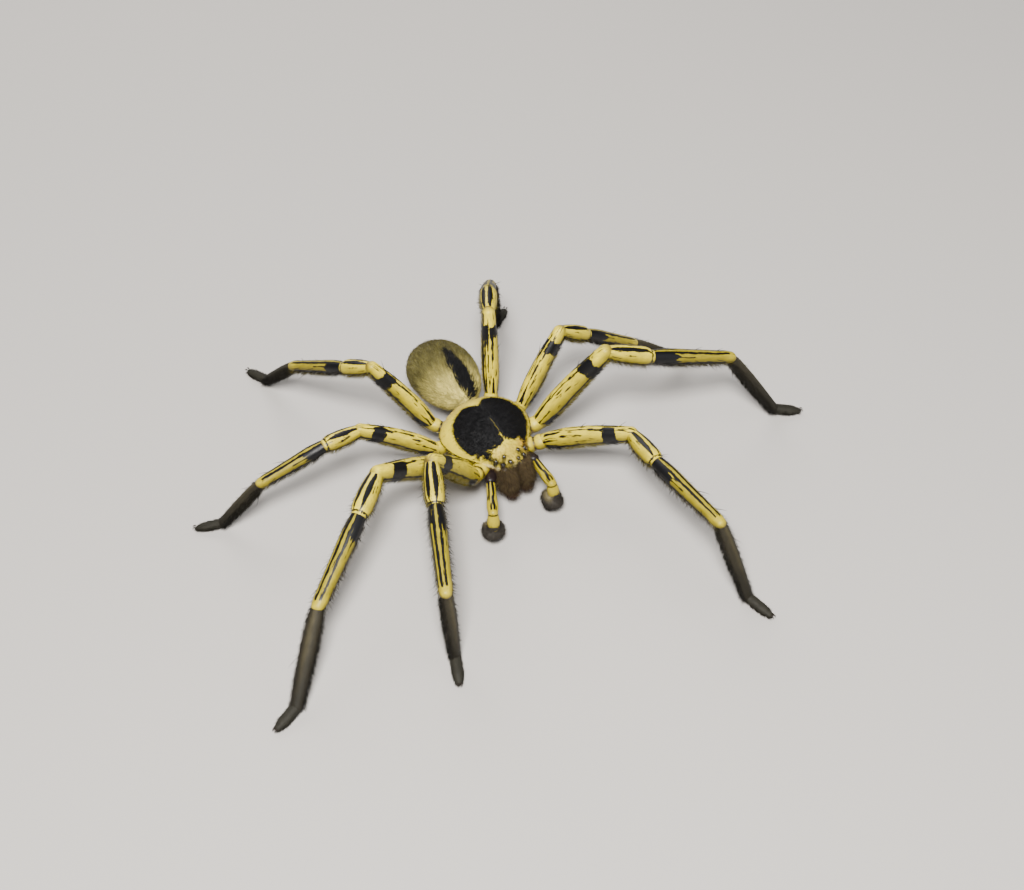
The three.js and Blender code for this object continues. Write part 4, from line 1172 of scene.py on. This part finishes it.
def palp_piece(kind, start, end, sign, seed):
    """The skin of one palp piece. The femur carries broken flecks, and the club is dark all over."""
    rings, poles, share, theta, _, direction, length = limb_grid(
        start, end, PALP_FORMS[kind], 1.0, 0.95, 0.0, -sign, 30, 36)
    points = over_rings(rings, *poles)
    shares = per_point(0, share, 36, 1)
    thetas = np.concatenate([[0], np.tile(theta, len(share)), [0]])
    tone = np.broadcast_to(YELLOW, points.shape)
    # Olive towards the underside of each piece: painted shade.
    tone = toward(tone, OLIVE_SHADE, smooth_between(np.abs(thetas), 70, 140) * 0.8)
    ink = np.full(len(points), -1.0)
    thick, long, lift = 0.5, 0.35, 16
    if kind == "base":
        tone = np.broadcast_to(PALP_BASE_BLACK, points.shape)
        thick = 0.1
    if kind == "femur":
        fleck = value_noise(noise_places(shares * 3.2, thetas / 16, seed), 1.0, 61)
        ink = np.minimum((fleck - 0.34) * 0.5, 0.3)
        lines = np.abs(np.abs(turned_from(thetas, -6)) - 24) * 0.014
        ink = np.maximum(ink, 0.1 - lines - (shares - 0.6) * 0.3)
        ink = np.maximum(ink, (0.12 - shares) * length)
    if kind == "tibia":
        ink = np.maximum(ink, 0.1 - np.abs(shares - 0.06) * length)
    if kind == "club":
        tone = np.broadcast_to(CLUB_DARK, points.shape)
        pale = (1 - smooth_between(shares, 0.05, 0.4)) * (1 - smooth_between(np.abs(thetas), 30, 80))
        tone = toward(tone, CLUB_PALE, pale * 0.6)
        thick, long, lift = 3.0, 0.42, 52
    return tube_skin(rings, poles[0], poles[1], direction, tone=tone, ink=ink,
                     thick=thick, length=long, lift=lift)


for side_name, sign in (("left", 1), ("right", -1)):
    base, knee, wrist, tip = (np.array(spot, float) for spot in PALPS[side_name])
    root = np.array(PALP_COXA) * (sign, 1, 1)
    palp = f"palp_{side_name}"
    upper = joined([palp_piece("base", root, base, sign, 1), palp_piece("femur", base, knee, sign, 2)])
    middle = palp_piece("tibia", knee, wrist, sign, 3)
    club = palp_piece("club", wrist, tip, sign, 4)
    skin_object(f"{palp}_femur_skin", upper, PALP_CUTICLE, [f"{palp}_femur"])
    skin_object(f"{palp}_tibia_skin", middle, PALP_CUTICLE, [f"{palp}_tibia"])
    skin_object(f"{palp}_club_skin", club, FOOT_CUTICLE, [f"{palp}_tarsus"])
    hair_object(f"{palp}_coat", rooted(joined([upper, middle]), PALP_HAIRS, 71 + sign), 0.035)
    hair_object(f"{palp}_club_coat", rooted(club, CLUB_HAIRS, 81 + sign), 0.045, curl=0.3)


# Spinnerets: two pairs of short soft cones on one base at the tail, olive and hairy
SPINNERETS = ((0.6, -0.45, 2.5, 0.48), (0.58, 0.5, 2.3, 0.42))
SPINNERET_HAIRS = 900
SPINNERET_OLIVE = (0.16, 0.13, 0.07)
tail = ABDOMEN_AT + abdomen_axis * (ABDOMEN_LENGTH / 2 - 1.3) - abdomen_up * 0.9


def cone_skin(start, end, profile, steps, around):
    """A short limb in the abdomen's darkest olive."""
    rings, poles, *_, direction, _ = limb_grid(start, end, profile, 1.0, 1.0, 0.0, -1, steps, around)
    tone = np.broadcast_to(SPINNERET_OLIVE, (rings.shape[0] * around + 2, 3))
    return tube_skin(rings, poles[0], poles[1], direction, tone=tone, ink=-1.0, thick=1.0, length=0.35,
                     lift=28)


cones = [cone_skin(tail, tail + abdomen_axis, [(0, 1.2), (1, 1.1)], 6, 36)]
for sign in (1, -1):
    for aside, up, long, wide in SPINNERETS:
        root = tail + abdomen_side * sign * aside + abdomen_up * up
        tip = root + abdomen_axis * long + abdomen_side * sign * 0.12
        cones.append(cone_skin(root, tip, [(0, wide), (0.7, wide * 0.85), (1, wide * 0.55)], 16, 24))
spinneret_skin = joined(cones)
skin_object("spinneret_skin", spinneret_skin, ABDOMEN_CUTICLE, ["spinnerets"])
hair_object("spinneret_coat", rooted(spinneret_skin, SPINNERET_HAIRS, 91), 0.035)
